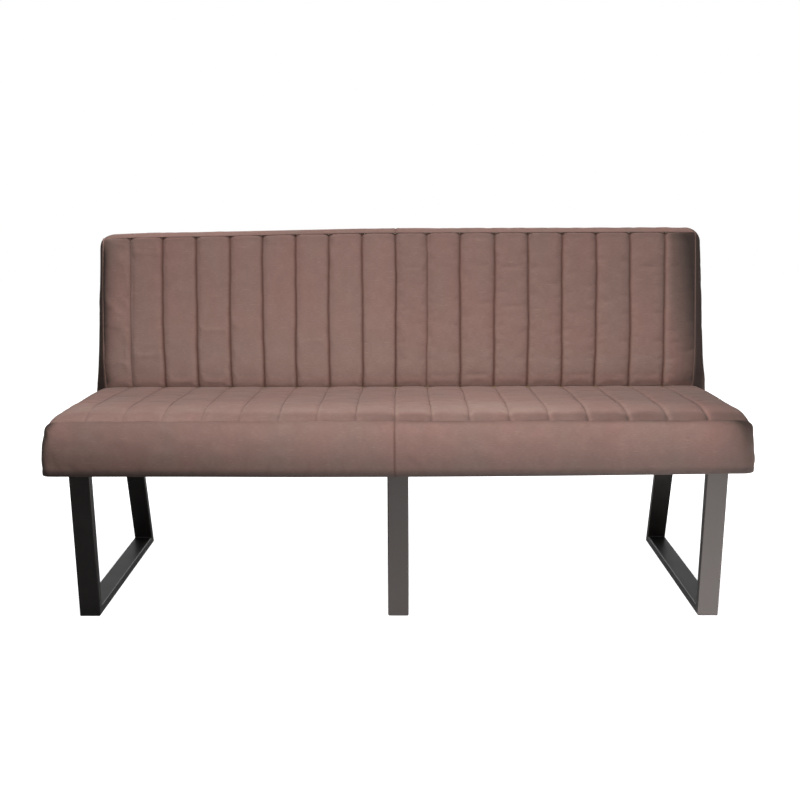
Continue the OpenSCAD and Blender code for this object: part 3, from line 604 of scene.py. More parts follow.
def seat_shade(columns, rows, x, side):
    """Painted shade and painted highlight on the seat's cloth: lighter on the crest, darker before the
    front seam and at the rear.
    """
    from_front = (rows - front_lean)[None, :]
    lines = beside_lines(
        columns, seat_seam_x, side,
        dark=0.8, dark_width=4 * MM, light=1.0, light_place=5 * MM, light_width=3 * MM,
    )
    # The lines keep less than half of their strength towards the rear
    line_fade, rear_share = 160 * MM, 0.45
    fade = rear_share + (1 - rear_share) * np.exp(-((from_front / line_fade) ** 2))
    lines = lines * CREASES(side * x) * fade
    patches = 0.2 * uneven(0.6 * x, 2.2 * rows[None, :] + 0 * x, 2.0 * side)
    wavering = from_front / MM + 5 * uneven(1.7 * x, 0 * x, 0.6)
    strip = SEAT_STRIP(wavering) * STRIP_ALONG(side * x) * (1 + 0.25 * uneven(2.4 * x, 0 * x, 2.2))
    # What changes along the bench does so less from 90 to 290 mm back
    rearward = np.clip((from_front / MM - 90) / 200, 0, 1)
    along = SEAT_ALONG(side * x) * (1 - 0.6 * rearward)
    return np.maximum(lines + SEAT_SHADE(wavering) + strip + along + patches, SEAT_LEAST)


# A panel's points within this reach of a sewn line don't puff out, and its thread lies on the cloth
LINE_HOLD, THREAD_RISE = 4 * MM, 0.7 * MM
# How much darker than its pile the seat's sewn lines are painted, partly for painted shade in their
# grooves
SEAT_LINE_DARK = {-1: 0.05, 1: 0.2}
thread_paths = []


def keep_threads(top, gap, side, outward):
    """Notes where the thread of each sewn line lies, at the foot of its groove."""
    for column in np.flatnonzero(gap[:, 0] < 0.1 * MM):
        if column > 0 or side > 0:
            thread_paths.append((top[column] + np.array(outward) * THREAD_RISE) * (side, 1, 1))


def under_rows(rows):
    """The rows that a panel's underside keeps, from its far end back to its start."""
    return [-1, len(rows) // 2, 0]


def panel(name, side, columns, width, top, under, seam, shade):
    """A channelled panel, which can puff out away from its sewn lines, edges and underside."""
    count = top.shape[1]
    stations = np.concatenate([top, under], axis=1)
    free = np.ones(stations.shape[:2], bool)
    free[np.abs(past_line(columns, width)) < LINE_HOLD] = False
    free[[0, -1]] = False
    free[:, count:] = False
    free[:, [0, 1, count - 1]] = False
    return skin(name, side, stations, columns, seam, shade, free)


def join_share(x):
    """How deep the join of the seat's panel and its band lies along the bench, as a share."""
    return 0.6 + 0.4 * uneven(2 * x, 0 * x, 1.3)


def seat_quilt(name, side):
    """One half of the seat's channelled panel."""
    columns = channel_columns(seat_seam_x)
    rows = rows_between(front_lean, seat_depth)
    x = follow_lines(columns, seat_seam_x, rows, side)
    full = seat_height(rows)[None, :] * seat_share(columns[:, None], rows[None, :], side)
    creases = CREASES(side * x)
    depth = np.minimum((0.6 + 2.9 * creases) * MM, 0.6 * full)
    relief, gap = channel_relief(
        columns, rows, seat_seam_x, depth=depth, roll=10 * MM, crown=0.8 * MM, seed=side
    )
    from_front = rows[None, :] - front_lean
    from_side = seat_seam_x - columns[:, None]
    front_groove = groove(from_front, depth=2.2 * MM * join_share(x), roll=7 * MM)
    height = full - relief
    height -= front_groove + groove(from_side, depth=1.8 * MM, roll=7 * MM)
    # Each line puckers the cloth where it meets the front seam, and small pleats run back from there
    pucker_depth, pucker_wide, pucker_long = 1.6 * MM, 6 * MM, 9 * MM
    height -= pucker_depth * creases * (np.exp(-gap / pucker_wide) * np.exp(-from_front / pucker_long))
    pleat_height, pleat_pitch, pleat_long = 0.35 * MM, 23 * MM, 16 * MM
    pleats = np.sin(2 * math.pi * x / pleat_pitch + 2.5 * uneven(3 * x, 0 * x, side))
    height += pleat_height * pleats * np.exp(-from_front / pleat_long)
    top = np.stack([x, front_y + rows + 0 * x, foam_top_z + np.maximum(height, CLEARANCE)], axis=-1)
    under = top[:, under_rows(rows)].copy()
    under[..., 2] = foam_top_z
    keep_threads(top, gap, side, (0, 0, 1))
    seam = np.maximum(seam_mark(gap), 0.5 * seam_mark(np.minimum(from_front, from_side)))
    shade = seat_shade(columns, rows, x, side)
    return panel(name, side, columns, seat_seam_x, top, under, SEAT_LINE_DARK[side] * seam, shade)


def back_quilt(name, side):
    """One half of the back's channelled panel."""
    columns = channel_columns(back_seam_x)
    rows = rows_between(pad_low_v, seam_v)
    # Its lines waver in their own way, from another part of the waves than the seat's
    waves_start = 3.1
    x = follow_lines(columns, back_seam_x, rows + waves_start, side)
    under_n = back_under(rows)[None, :]
    full = (back_front(rows)[None, :] - under_n) * back_share(columns)[:, None]
    depth = np.minimum(7 * MM, 0.9 * full)
    relief, gap = channel_relief(
        columns, rows, back_seam_x, depth=depth, roll=16 * MM, crown=1.8 * MM, seed=5 + side
    )
    from_top = seam_v - rows[None, :]
    from_side = back_seam_x - columns[:, None]
    side_groove = groove(from_side, depth=1.2 * MM, roll=6 * MM)
    height = full - relief - side_groove - groove(from_top, depth=1.0 * MM, roll=14 * MM)
    top = on_back(x, rows[None, :], under_n + np.maximum(height, CLEARANCE))
    keep_threads(droop(top, side), gap, side, (0, -math.cos(recline), math.sin(recline)))
    picks = under_rows(rows)
    under = on_back(x[:, picks], rows[picks][None, :], under_n[:, picks])
    faint_line, faint_share = FAINT_LINES[side]
    nearest = np.round(columns * channels / back_seam_x).astype(int)
    strength = np.where(nearest == faint_line, faint_share, 1)[:, None]
    # The lines grow a little fainter over the last 60 mm under the top seam
    strength = strength * (0.8 + 0.2 * np.clip(from_top / (60 * MM), 0, 1))
    seam = np.maximum(seam_mark(gap) * strength, 0.2 * seam_mark(from_side))
    shade = back_shade(columns, rows, back_seam_x, side)
    return panel(name, side, columns, back_seam_x, top, under, seam, shade)


# Plain bands and borders, which start at the middle seam and end at the rear or the foot

# Shares of the way from the middle seam to the corner, close together beside the seam
MIDDLE_STEPS = np.array([0, 0.002, 0.0045, 0.0075, 0.0115, 0.018])
MIDDLE_END = 0.026
# A distance from the middle seam at which it no longer shows, for stations past the corner
FAR = 1.0


def turn_path(side_places):
    """Stations as (kind, place): kind 0 runs from the middle, 1 round the corner, 2 on along the side."""
    fronts = np.concatenate([MIDDLE_STEPS, np.linspace(MIDDLE_END, 1, 112)])
    corner = np.radians(np.linspace(0, 90, 13)[1:])
    path = [(0, place) for place in fronts] + [(1, angle) for angle in corner]
    return path + [(2, place) for place in side_places]


def middle_dip(from_middle):
    """How far a band or a border is drawn in beside its middle seam."""
    return float(groove(np.array(from_middle), depth=1.4 * MM, roll=6 * MM))


def free_rows(stations, first, last):
    """Where a plain cover can puff out: from its first free row to its last, away from its ends."""
    free = np.zeros(stations.shape[:2], bool)
    free[2:-2, first:last] = True
    return free


def distance_along(stations, point):
    """How far each station is from the first one, measured along one of their points."""
    steps = np.linalg.norm(np.diff(stations[:, point], axis=0), axis=1)
    return np.concatenate([[0], np.cumsum(steps)])


def band_place(side, kind, place, in_front, in_side, radius):
    """A place on the plan of the seat, measured from its front."""
    start = side * MIDDLE_SEAM_X
    x_turn = seat_half - in_side - radius
    y_turn = in_front + radius
    if kind == 0:
        return start + place * (x_turn - start), in_front
    if kind == 1:
        return x_turn + radius * math.sin(place), y_turn - radius * math.cos(place)
    return seat_half - in_side, y_turn + place * (seat_depth - y_turn)


def seat_band(name, side):
    """One half of the plain band round the edge of the seat."""
    height = foam_top_z + seat_edge_h - band_foot_z
    lengths, shares = along_outline(BAND_OUTLINE, (FRONT_TUCK, front_lean, height), CLOTH_STEP)
    heights = shares[:, 2]
    to_seam = lengths[-1] - lengths
    sharp, round_inside = 1 * MM, 20 * MM
    # Points behind the cloth, as (in from the front, in from the side, corner radius, height)
    hidden = (
        (front_lean, side_lean, sharp, foam_top_z),
        (0.35 * front_lean, rail_inset, round_inside, foam_top_z - rail_inset),
        (rail_inset, rail_inset, round_inside, foam_top_z - foam_t),
        (rail_inset, rail_inset, round_inside, band_foot_z + lip_t),
        (lip_depth, lip_depth, sharp, band_foot_z + lip_t),
        (lip_depth, lip_depth, sharp, band_foot_z),
        (lip_bend, lip_bend, round_inside, band_foot_z),
    )
    stations, seam, shade = [], [], []
    for kind, place in turn_path(np.linspace(0, 1, 52)[1:]):
        x_seam = band_place(side, kind, place, front_lean, side_lean, sharp)[0]
        from_middle = x_seam - side * MIDDLE_SEAM_X if kind == 0 else FAR
        dip = middle_dip(from_middle)
        points = []
        for tuck, lean, share in shares:
            in_front = min(tuck * FRONT_TUCK + lean * front_lean + dip, front_lean)
            in_side = tuck * SIDE_TUCK + float(end_in[side](share)) * MM
            radius = max(sharp, seat_corner - in_front)
            x, y = band_place(side, kind, place, in_front, in_side, radius)
            edge_h = seat_edge_h if kind < 2 else float(seat_height(y))
            top = foam_top_z + edge_h * float(seat_share(x_seam, y, side))
            hang = float(sag(side * x)) * MM
            points.append((x, y, band_foot_z + share * (top - band_foot_z) - hang * (1 - share) ** 2))
        points = np.array(points)
        join = join_share(x_seam) if kind == 0 else 0.8
        points[:, 2] -= groove(to_seam, depth=1.8 * MM * join, roll=6 * MM)
        belly = 0.6 * MM * uneven(points[:, 0] + points[:, 1], points[:, 2], 2 + side)
        points[:, 1] -= belly * np.sin(math.pi * lengths / lengths[-1]) * (kind == 0)
        inner = [(*band_place(side, kind, place, *where[:3]), where[3]) for where in hidden]
        stations.append(np.concatenate([points, inner]))
        seam.append(np.maximum(0.8 * join * seam_mark(to_seam), 0.8 * seam_mark(from_middle)))
        # Painted shade darkens each end in its own way, the right one most near its top, and along the
        # side the cloth settles to one painted shade
        from_end = (seat_half - end_in[side](heights) * MM - points[:, 0]) / MM
        end = LEFT_END(from_end) if side < 0 else RIGHT_END(from_end) * (0.25 + 0.9 * heights**1.3)
        if kind == 2:
            end = 0.5 + (end - 0.5) * math.exp(-place * 12)
        # Painted shade on the top of the band, under its join with the seat, over 9 mm
        by_seam = 0.75 * JOIN_ALONG(side * points[:, 0]) * np.exp(-((to_seam / (9 * MM)) ** 2))
        shade.append(BAND_SHADE(heights) + BAND_ALONG(side * points[:, 0]) + end + by_seam)
    stations = np.array(stations) + (0, front_y, 0)
    across = distance_along(stations, len(lengths) // 2)
    free = free_rows(stations, 4, len(lengths) - 3)
    return skin(name, side, stations, across, 0.6 * np.array(seam), np.array(shade), free)


def border_place(side, kind, place, in_top, wide, in_side, radius, n):
    """A place on the border: along the top, round the corner or down the side."""
    start = side * MIDDLE_SEAM_X
    x_turn = wide - in_side - radius
    v_turn = back_v - in_top - radius
    if kind == 0:
        return on_back(start + place * (x_turn - start), back_v - in_top, n)
    if kind == 1:
        return on_back(x_turn + radius * math.sin(place), v_turn + radius * math.cos(place), n)
    return on_back(wide - in_side, min(place, v_turn), n)


def corner_radius(in_top):
    """Radius of the back's top corners, in from the top."""
    return back_corner + min(1, in_top / top_seam_drop) * (seam_radius - back_corner)


def back_border(name, side):
    """One half of the plain border over the top and down the side of the back."""
    shares = along_outline(BORDER_OUTLINE, (top_seam_drop, border_roll), 5 * MM)[1]
    sides = np.linspace(back_v - back_corner, pad_low_v, 62)[1:]
    sides = np.concatenate([sides, np.linspace(pad_low_v, foot_v, 18)[1:]])
    # The border turns in to the rear, as (millimetres in from its outer face, share of this roll)
    rear_roll = 12 * MM
    turned = ((1, 0), (1.3, 0.35), (2.4, 0.75), (4, 1))
    rear_n = back_rear_n + rear_roll
    stations, seam, shade = [], [], []
    for kind, place in turn_path(sides):
        wide = float(half_width[side](place)) if kind == 2 else top_half[side]
        seam_side = wide - back_seam_x
        x_seam, v_seam = back_seam_x, place
        if kind == 0:
            start = side * MIDDLE_SEAM_X
            x_seam = start + place * (back_seam_x - seam_radius - start)
            v_seam = seam_v
        elif kind == 1:
            x_seam = back_seam_x - seam_radius * (1 - math.sin(place))
            v_seam = seam_v - seam_radius * (1 - math.cos(place))
        seam_n = float(back_seam_n(x_seam, v_seam))
        under = float(back_under(v_seam)) if v_seam > pad_low_v - PADDING_FOOT else 0.0
        least_t = 0.5 * MM
        under = min(under, seam_n - least_t)
        from_middle = x_seam - side * MIDDLE_SEAM_X if kind == 0 else FAR
        dip = middle_dip(from_middle)
        roll = min(border_roll, seam_n - rear_n - rear_roll)
        # The cloth from its front seam to its rear one, as (in from the top, in from the side, in front)
        front = [(a * top_seam_drop + dip * (1 - a), a * seam_side, seam_n - b * roll) for a, b in shares]
        falls = np.linspace(0, 1, 9)[1:-1]
        depth = seam_n - roll - rear_n
        flat = [(dip + s * MM, s * MM, seam_n - roll - s * depth) for s in falls]
        rear = [(dip + s * MM, s * MM, rear_n - f * rear_roll) for s, f in turned]
        shown = [(*at, corner_radius(at[0])) for at in front + flat + rear]
        # Points behind the cloth, over the frame and then under the front seam
        top_inside, side_inside = border_t - CLEARANCE, wide - frame_half - CLEARANCE
        inner = [(top_inside, side_inside, n, 1 * MM) for n in (back_rear_n, back_rear_n / 2, under)]
        inner.append((top_seam_drop, seam_side, under, seam_radius))
        points = np.array([
            border_place(side, kind, place, in_top, wide, in_side, radius, n)
            for in_top, in_side, n, radius in shown + inner
        ])
        count = len(shown)
        gap = np.linalg.norm(np.diff(points[:count], axis=0), axis=1)
        gap = np.concatenate([[0], np.cumsum(gap)])
        nearest = np.maximum(seam_mark(gap), seam_mark(gap[-1] - gap))
        seam.append(np.maximum((0 if kind == 0 else 0.1) * nearest, 0.6 * seam_mark(from_middle)))
        # Painted shade: over the side the rolled front is dark, with a paler edge at its seam, and the
        # rest is duller, and over the top it is darkest at the seam and lighter towards the left end
        over_side = (0, math.sin(place), 1)[kind]
        edge_reach, front_fade, top_edge_reach = 4 * MM, 14 * MM, 5 * MM
        past_roll = np.maximum(0, gap - roll)
        dark_front = 2.4 * np.clip(gap / edge_reach, 0.4, 1) * np.exp(-past_roll / front_fade)
        over_top = 0.2 + 0.45 * np.exp(-gap / top_edge_reach) + TOP_ALONG(side * x_seam)
        shade.append(over_top * (1 - over_side) + over_side * np.maximum(dark_front, 0.5))
        stations.append(points)
    stations = np.array(stations)
    # The cloth settles with the foam, and so do the two points behind it that lie at the padding
    droop(stations[:, :count], side)
    droop(stations[:, -2:], side)
    across = distance_along(stations, count // 2)
    free = free_rows(stations, 3, count - 3)
    return skin(name, side, stations, across, 0.7 * np.array(seam), np.array(shade), free)


def rear_cover(name, side):
    """One half of the plain cover on the rear of the back."""
    corner = corner_radius(cover_edge)
    top_v = back_v - cover_edge
    rows = rows_between(foot_v, top_v, 9 * MM)
    over = np.clip(rows - (top_v - corner), 0, corner)
    wide = half_width[side](rows) - cover_edge - (corner - np.sqrt(corner**2 - over**2))
    start = side * MIDDLE_SEAM_X
    shares = np.concatenate([MIDDLE_STEPS, np.linspace(MIDDLE_END, 0.985, 92), [0.992, 0.9965, 1]])
    share = shares[:, None]
    x = start + share * (wide[None, :] - start)
    edge = np.minimum(wide[None, :] - x, np.minimum(top_v - rows, rows - foot_v)[None, :])
    middle = x - start
    edge_groove = groove(edge, depth=2 * MM, roll=6 * MM)
    n = back_rear_n - cover_t + edge_groove + groove(middle, depth=1.6 * MM, roll=6 * MM)
    belly = np.sin(math.pi * (rows - foot_v) / (top_v - foot_v))[None, :] * np.sin(math.pi * share)
    n = n - 1.5 * MM * belly - 0.3 * MM * uneven(x, rows[None, :], 9 + side)
    outer = on_back(x, rows[None, :], n)
    picks = [-1, len(rows) // 2, len(rows) // 5, 0]
    inner = on_back(x[:, picks], rows[picks][None, :], back_rear_n)
    seam = np.maximum(0.5 * seam_mark(edge), 0.8 * seam_mark(middle))
    stations = np.concatenate([droop(outer, side), inner], axis=1)
    free = free_rows(stations, 3, len(rows) - 3)
    return skin(name, side, stations, shares * float(wide.mean()), 0.7 * seam, free=free)


# Foam and timber under the cloth

# How far the foam lies from the board behind it, or from the cloth over it
FOAM_GAP = 0.5 * MM


def swept(x, profile):
    """Stations at places along X, each with the (y, z) points of a profile."""
    return np.stack([np.stack([x, y, z], axis=-1) for y, z in profile], axis=1)


def timber_top(x):
    """Places up the back of the timber's upper edge, which is cut away towards its ends."""
    return back_v - border_t - end_cut(x, *PLANED) - end_cut(x, *ROUNDED)


def eased_plank(name, low_v, profile):
    """A timber piece of the back between its ends, straight but for its upper edge.

    profile holds its upper corners as (place in front of the board, drop from the edge).
    """
    x = np.linspace(-frame_half, frame_half, 91)
    corners = [(low_v + 0 * x, profile[0][0])] + [(timber_top(x) - drop, n) for n, drop in profile]
    corners.append((low_v + 0 * x, profile[-1][0]))
    sine, cosine = math.sin(recline), math.cos(recline)
    section = [(lean_y + v * sine - n * cosine, lean_z + v * cosine + n * sine) for v, n in corners]
    plank = skin(name, 1, swept(x, section), x)
    plank.data.polygons.foreach_set("use_smooth", [False] * len(plank.data.polygons))
    return plank


def back_foam_slab(name):
    """The foam of the back: full at the channels' height, thin at its foot, settled as its cover is."""
    half = frame_half - CLEARANCE
    x = np.linspace(-half, half, 121)
    level = 0 * x
    # The upper edge is bevelled, and only what is above a place up the slab settles
    edge, upper_v = 8 * MM, 0.4
    top_v = timber_top(x) - 1 * MM
    front_n = back_foam_t - CLEARANCE
    profile = [
        (level + pad_low_v, FOAM_GAP), (level + pad_low_v, foam_tip_n - CLEARANCE),
        (level + pad_low_v + 0.75 * foot_run, front_n), (level + upper_v, front_n),
        (top_v - edge, front_n), (top_v - 0.3 * edge, front_n - 0.3 * edge),
        (top_v, front_n - edge), (top_v, FOAM_GAP),
    ]
    stations = np.stack([on_back(x, v, n) for v, n in profile], axis=1)
    left = x < 0
    stations[left] = droop(stations[left] * (-1, 1, 1), -1) * (-1, 1, 1)
    return skin(name, 1, stations, x)


def seat_foam_slab(name):
    """The foam of the seat, bevelled where the band leans over its front and its ends."""
    low, high = foam_low, foam_high
    x = np.linspace(low.x, high.x, 161)
    level = 0 * x
    corner, bevel_h = 26 * MM, 21 * MM
    rear_bevel_y, rear_bevel_h = 6 * MM, 4 * MM
    bevel_x = high.x - (seat_half - side_lean - 1 * MM)
    bevel_y = front_y + front_lean + 1.5 * MM - low.y
    over = np.maximum(0, np.abs(x) - (high.x - corner))
    front = low.y + corner - np.sqrt(np.maximum(0, corner**2 - over**2))
    rear = level + high.y
    top = high.z - FOAM_GAP - bevel_h * np.clip((np.abs(x) - high.x + bevel_x) / bevel_x, 0, 1)
    low_edge = np.minimum(top, high.z - bevel_h)
    profile = [
        (front, level + low.z), (front, low_edge), (front + bevel_y, top),
        (rear - rear_bevel_y, top), (rear, top - rear_bevel_h), (rear, level + low.z),
    ]
    return skin(name, 1, swept(x, profile), x)


# Materials


def linear(code):
    """A colour for a socket, from its sRGB hex value."""
    parts = [int(code[i:i + 2], 16) / 255 for i in (1, 3, 5)]
    return tuple([c / 12.92 if c <= 0.04045 else ((c + 0.055) / 1.055) ** 2.4 for c in parts] + [1.0])


def node(tree, kind, sockets=(), **values):
    """Adds a node: settings and values by name, and {socket: output to link, or value to set}."""
    made = tree.nodes.new(kind)
    for key, value in values.items():
        if hasattr(made, key):
            setattr(made, key, value)
        else:
            made.inputs[key.replace("_", " ")].default_value = value
    for socket, source in dict(sockets).items():
        if isinstance(source, bpy.types.NodeSocket):
            tree.links.new(source, made.inputs[socket])
        else:
            made.inputs[socket].default_value = source
    return made


def ramp(tree, factor, *stops):
    """A colour ramp from (place, colour) stops."""
    made = node(tree, "ShaderNodeValToRGB", {"Fac": factor})
    elements = made.color_ramp.elements
    while len(elements) < len(stops):
        elements.new(0.5)
    for element, (place, colour) in zip(elements, stops):
        element.position = place
        element.color = linear(colour) if isinstance(colour, str) else (colour, colour, colour, 1)
    return made.outputs["Color"]


def new_material(name, **values):
    """A material with one Principled shader, its node tree and the shader's node."""
    made = bpy.data.materials.new(name)
    made.use_nodes = True
    shader = made.node_tree.nodes["Principled BSDF"]
    for key, value in values.items():
        shader.inputs[key.replace("_", " ")].default_value = value
    return made, made.node_tree, shader


def colour_and_relief(tree, shader, pattern, stops, relief=None):
    """Colours a shader by a pattern, and raises the pattern by a relief of (strength, depth)."""
    tree.links.new(ramp(tree, pattern, *stops), shader.inputs["Base Color"])
    if relief:
        bump = node(tree, "ShaderNodeBump", {"Height": pattern}, Strength=relief[0], Distance=relief[1])
        tree.links.new(bump.outputs["Normal"], shader.inputs["Normal"])


def velvet():
    """Cut velvet in polyester: a short dense pile on a woven ground.

    The pile swallows light that falls straight on it and glows at a slant. It lies a little
    differently from patch to patch, so that the cloth is softly mottled.
    """
    made, tree, shader = new_material(
        "velvet", Roughness=0.9, Sheen_Weight=0.14, Sheen_Roughness=0.42, Specular_IOR_Level=0.12
    )
    shader.inputs["Sheen Tint"].default_value = linear("#ead9d0")
    place = node(tree, "ShaderNodeUVMap", uv_map="cloth").outputs["UV"]
    # Pile laid in short strokes along the bench, 9 mm long and 2 mm high
    drawn = node(tree, "ShaderNodeMapping", {"Vector": place}, Scale=(110, 480, 1)).outputs["Vector"]
    strokes = node(tree, "ShaderNodeTexNoise", {"Vector": drawn}, Scale=1.0, Detail=3.0).outputs["Fac"]
    # Single tufts of 2 mm, and patches of pile that leans another way, 30 mm across
    tufts = node(tree, "ShaderNodeTexNoise", {"Vector": place}, Scale=520.0, Detail=2.0).outputs["Fac"]
    patches = node(tree, "ShaderNodeTexNoise", {"Vector": place}, Scale=34.0, Detail=4.0).outputs["Fac"]
    mixed = node(tree, "ShaderNodeMix", {2: strokes, 3: tufts}, Factor=0.35).outputs[0]
    mixed = node(tree, "ShaderNodeMix", {2: mixed, 3: patches}, Factor=0.3).outputs[0]
    rosy = ramp(tree, mixed, (0.36, "#84665e"), (0.5, "#8a6a63"), (0.64, "#91726a"))
    greyer = ramp(tree, mixed, (0.36, "#7f6860"), (0.5, "#846d65"), (0.64, "#8b746c"))
    # Broad shading of the pile, about 110 mm wide and 330 mm long
    drawn = node(tree, "ShaderNodeMapping", {"Vector": place}, Scale=(9, 3, 1)).outputs["Vector"]
    shades = node(tree, "ShaderNodeTexNoise", {"Vector": drawn}, Scale=1.0, Detail=2.0).outputs["Fac"]
    shades = ramp(tree, shades, (0.3, 0.0), (0.66, 0.85))
    # The pile attribute holds painted shade and painted highlight, partly for how the pile lies. The
    # cloth is greyer where it is painted darker or lighter
    pile = node(tree, "ShaderNodeAttribute", attribute_name="pile").outputs["Fac"]
    dark = node(tree, "ShaderNodeMapRange", {"Value": pile}, From_Min=0.5, From_Max=1.8).outputs[0]
    light = node(tree, "ShaderNodeMapRange", {"Value": pile}, From_Min=-0.1, From_Max=-0.9).outputs[0]
    grey = node(tree, "ShaderNodeMath", {0: dark, 1: light}, operation="MAXIMUM").outputs[0]
    grey = node(tree, "ShaderNodeMath", {0: shades, 1: grey}, operation="MAXIMUM").outputs[0]
    colour = node(tree, "ShaderNodeMix", {0: grey, 6: rosy, 7: greyer}, data_type="RGBA").outputs[2]
    # Sparse strokes of pressed pile, about 35 mm long and 4 mm high
    drawn = node(tree, "ShaderNodeMapping", {"Vector": place}, Scale=(28, 250, 1)).outputs["Vector"]
    pressed = node(tree, "ShaderNodeTexNoise", {"Vector": drawn}, Scale=1.0, Detail=2.0).outputs["Fac"]
    pressed = ramp(tree, pressed, (0.64, 0.0), (0.76, 0.4))
    colour = node(
        tree, "ShaderNodeMix", {0: pressed, 6: colour, 7: linear("#a1877e")}, data_type="RGBA"
    ).outputs[2]
    # A sewn line opens the pile, and painted shade darkens its foot, where little light reaches
    seam = node(tree, "ShaderNodeAttribute", attribute_name="seam").outputs["Fac"]
    deep = ramp(tree, seam, (0.08, "#ffffff"), (0.5, "#d6c9c4"), (1.0, "#a4918a"))
    colour = node(
        tree, "ShaderNodeMix", {6: colour, 7: deep}, data_type="RGBA", blend_type="MULTIPLY", Factor=1.0
    ).outputs[2]
    # Brightness over the painted shade and painted highlight: 1.565 at -2 and 0.18 at 2.4, so 0.935 as
    # dyed
    value = node(
        tree, "ShaderNodeMapRange", {"Value": pile}, From_Min=-2, From_Max=2.4, To_Min=1.565, To_Max=0.18
    ).outputs[0]
    colour = node(tree, "ShaderNodeHueSaturation", {"Color": colour, "Value": value}).outputs["Color"]
    tree.links.new(colour, shader.inputs["Base Color"])
    height = node(tree, "ShaderNodeMix", {2: strokes, 3: tufts}, Factor=0.5).outputs[0]
    bump = node(tree, "ShaderNodeBump", {"Height": height}, Strength=0.22, Distance=0.001)
    tree.links.new(bump.outputs["Normal"], shader.inputs["Normal"])
    return made


def sewing_thread():
    """Spun polyester thread, dyed to the velvet and a little darker than its pile. Plies of 0.7 mm."""
    made, tree, shader = new_material("sewing_thread", Roughness=0.55)
    place = node(tree, "ShaderNodeTexCoord").outputs["Object"]
    ply = node(tree, "ShaderNodeTexNoise", {"Vector": place}, Scale=1400.0, Detail=1.0).outputs["Fac"]
    colour_and_relief(tree, shader, ply, [(0.35, "#5d463f"), (0.65, "#7a6159")])
    return made


def powder_coat():
    """Polyester powder coat on mild steel, satin black, baked after welding.

    It has a fine orange peel of a few millimetres and a wide soft highlight, and it looks a
    little greyer where dust and handling have dulled it.
    """
    made, tree, shader = new_material("powder_coat", Specular_IOR_Level=0.15)
    place = node(tree, "ShaderNodeTexCoord").outputs["Object"]
    peel = node(tree, "ShaderNodeTexNoise", {"Vector": place}, Scale=420.0, Detail=2.0).outputs["Fac"]
    dull = node(tree, "ShaderNodeTexNoise", {"Vector": place}, Scale=24.0, Detail=4.0).outputs["Fac"]
    tree.links.new(ramp(tree, dull, (0.35, "#0d0b0a"), (0.7, "#131110")), shader.inputs["Base Color"])
    rough = node(tree, "ShaderNodeMapRange", {"Value": dull}, To_Min=0.36, To_Max=0.46).outputs[0]
    tree.links.new(rough, shader.inputs["Roughness"])
    bump = node(tree, "ShaderNodeBump", {"Height": peel}, Strength=0.12, Distance=0.0006)
    tree.links.new(bump.outputs["Normal"], shader.inputs["Normal"])
    return made


def moulded_plastic():
    """Low-density polyethylene, moulded: matt black with a fine spark-eroded grain."""
    made, tree, shader = new_material("moulded_polyethylene", Roughness=0.6)
    place = node(tree, "ShaderNodeTexCoord").outputs["Object"]
    grain = node(tree, "ShaderNodeTexNoise", {"Vector": place}, Scale=900.0, Detail=2.0).outputs["Fac"]
    colour_and_relief(tree, shader, grain, [(0.35, "#121212"), (0.7, "#1c1c1c")], (0.3, 0.4 * MM))
    return made


def zinc_plate():
    """Steel with bright zinc plate: bluish grey, faintly clouded by the bath."""
    made, tree, shader = new_material("zinc_plate", Metallic=1.0)
    place = node(tree, "ShaderNodeTexCoord").outputs["Object"]
    cloud = node(tree, "ShaderNodeTexNoise", {"Vector": place}, Scale=160.0, Detail=4.0).outputs["Fac"]
    colour_and_relief(tree, shader, cloud, [(0.3, "#a9adb3"), (0.7, "#c3c6ca")])
    rough = node(tree, "ShaderNodeMapRange", {"Value": cloud}, To_Min=0.25, To_Max=0.42).outputs[0]
    tree.links.new(rough, shader.inputs["Roughness"])
    return made


def planed_wood(name, drawn_out, pale, dark):
    """Planed softwood or sanded plywood: growth rings about 3 mm apart, drawn out along the grain."""
    made, tree, shader = new_material(name, Roughness=0.62)
    place = node(tree, "ShaderNodeTexCoord").outputs["Object"]
    drawn = node(tree, "ShaderNodeMapping", {"Vector": place}, Scale=drawn_out).outputs["Vector"]
    bend = node(tree, "ShaderNodeTexNoise", {"Vector": drawn}, Scale=2.0, Detail=5.0).outputs["Fac"]
    ring = 0.07
    rings = node(tree, "ShaderNodeMath", {0: bend, 1: ring}, operation="PINGPONG").outputs[0]
    lines = node(tree, "ShaderNodeMapRange", {"Value": rings}, From_Max=ring).outputs[0]
    colour_and_relief(tree, shader, lines, [(0.1, dark), (0.8, pale)], (0.15, 0.5 * MM))
    return made


def cut_foam():
    """Flexible polyurethane foam, sawn: cream, with open cells about 1 mm wide."""
    made, tree, shader = new_material("cut_foam", Roughness=0.95)
    place = node(tree, "ShaderNodeTexCoord").outputs["Object"]
    cells = node(tree, "ShaderNodeTexVoronoi", {"Vector": place}, Scale=900.0).outputs["Distance"]
    colour_and_relief(tree, shader, cells, [(0.1, "#c9bb8e"), (0.6, "#ece0bd")], (0.6, 1 * MM))
    return made


def spunbond():
    """Spunbond polypropylene, thin and black: fibres pressed into dimples 2.5 mm apart."""
    made, tree, shader = new_material("spunbond", Roughness=0.8)
    place = node(tree, "ShaderNodeTexCoord").outputs["Object"]
    dimples = node(tree, "ShaderNodeTexVoronoi", {"Vector": place}, Scale=400.0, Randomness=0.1)
    dimples = dimples.outputs["Distance"]
    colour_and_relief(tree, shader, dimples, [(0.1, "#0e0e0e"), (0.5, "#1f1f1f")], (0.5, 0.6 * MM))
    return made


# What repeats along a path: stitches, weld ripples and staples


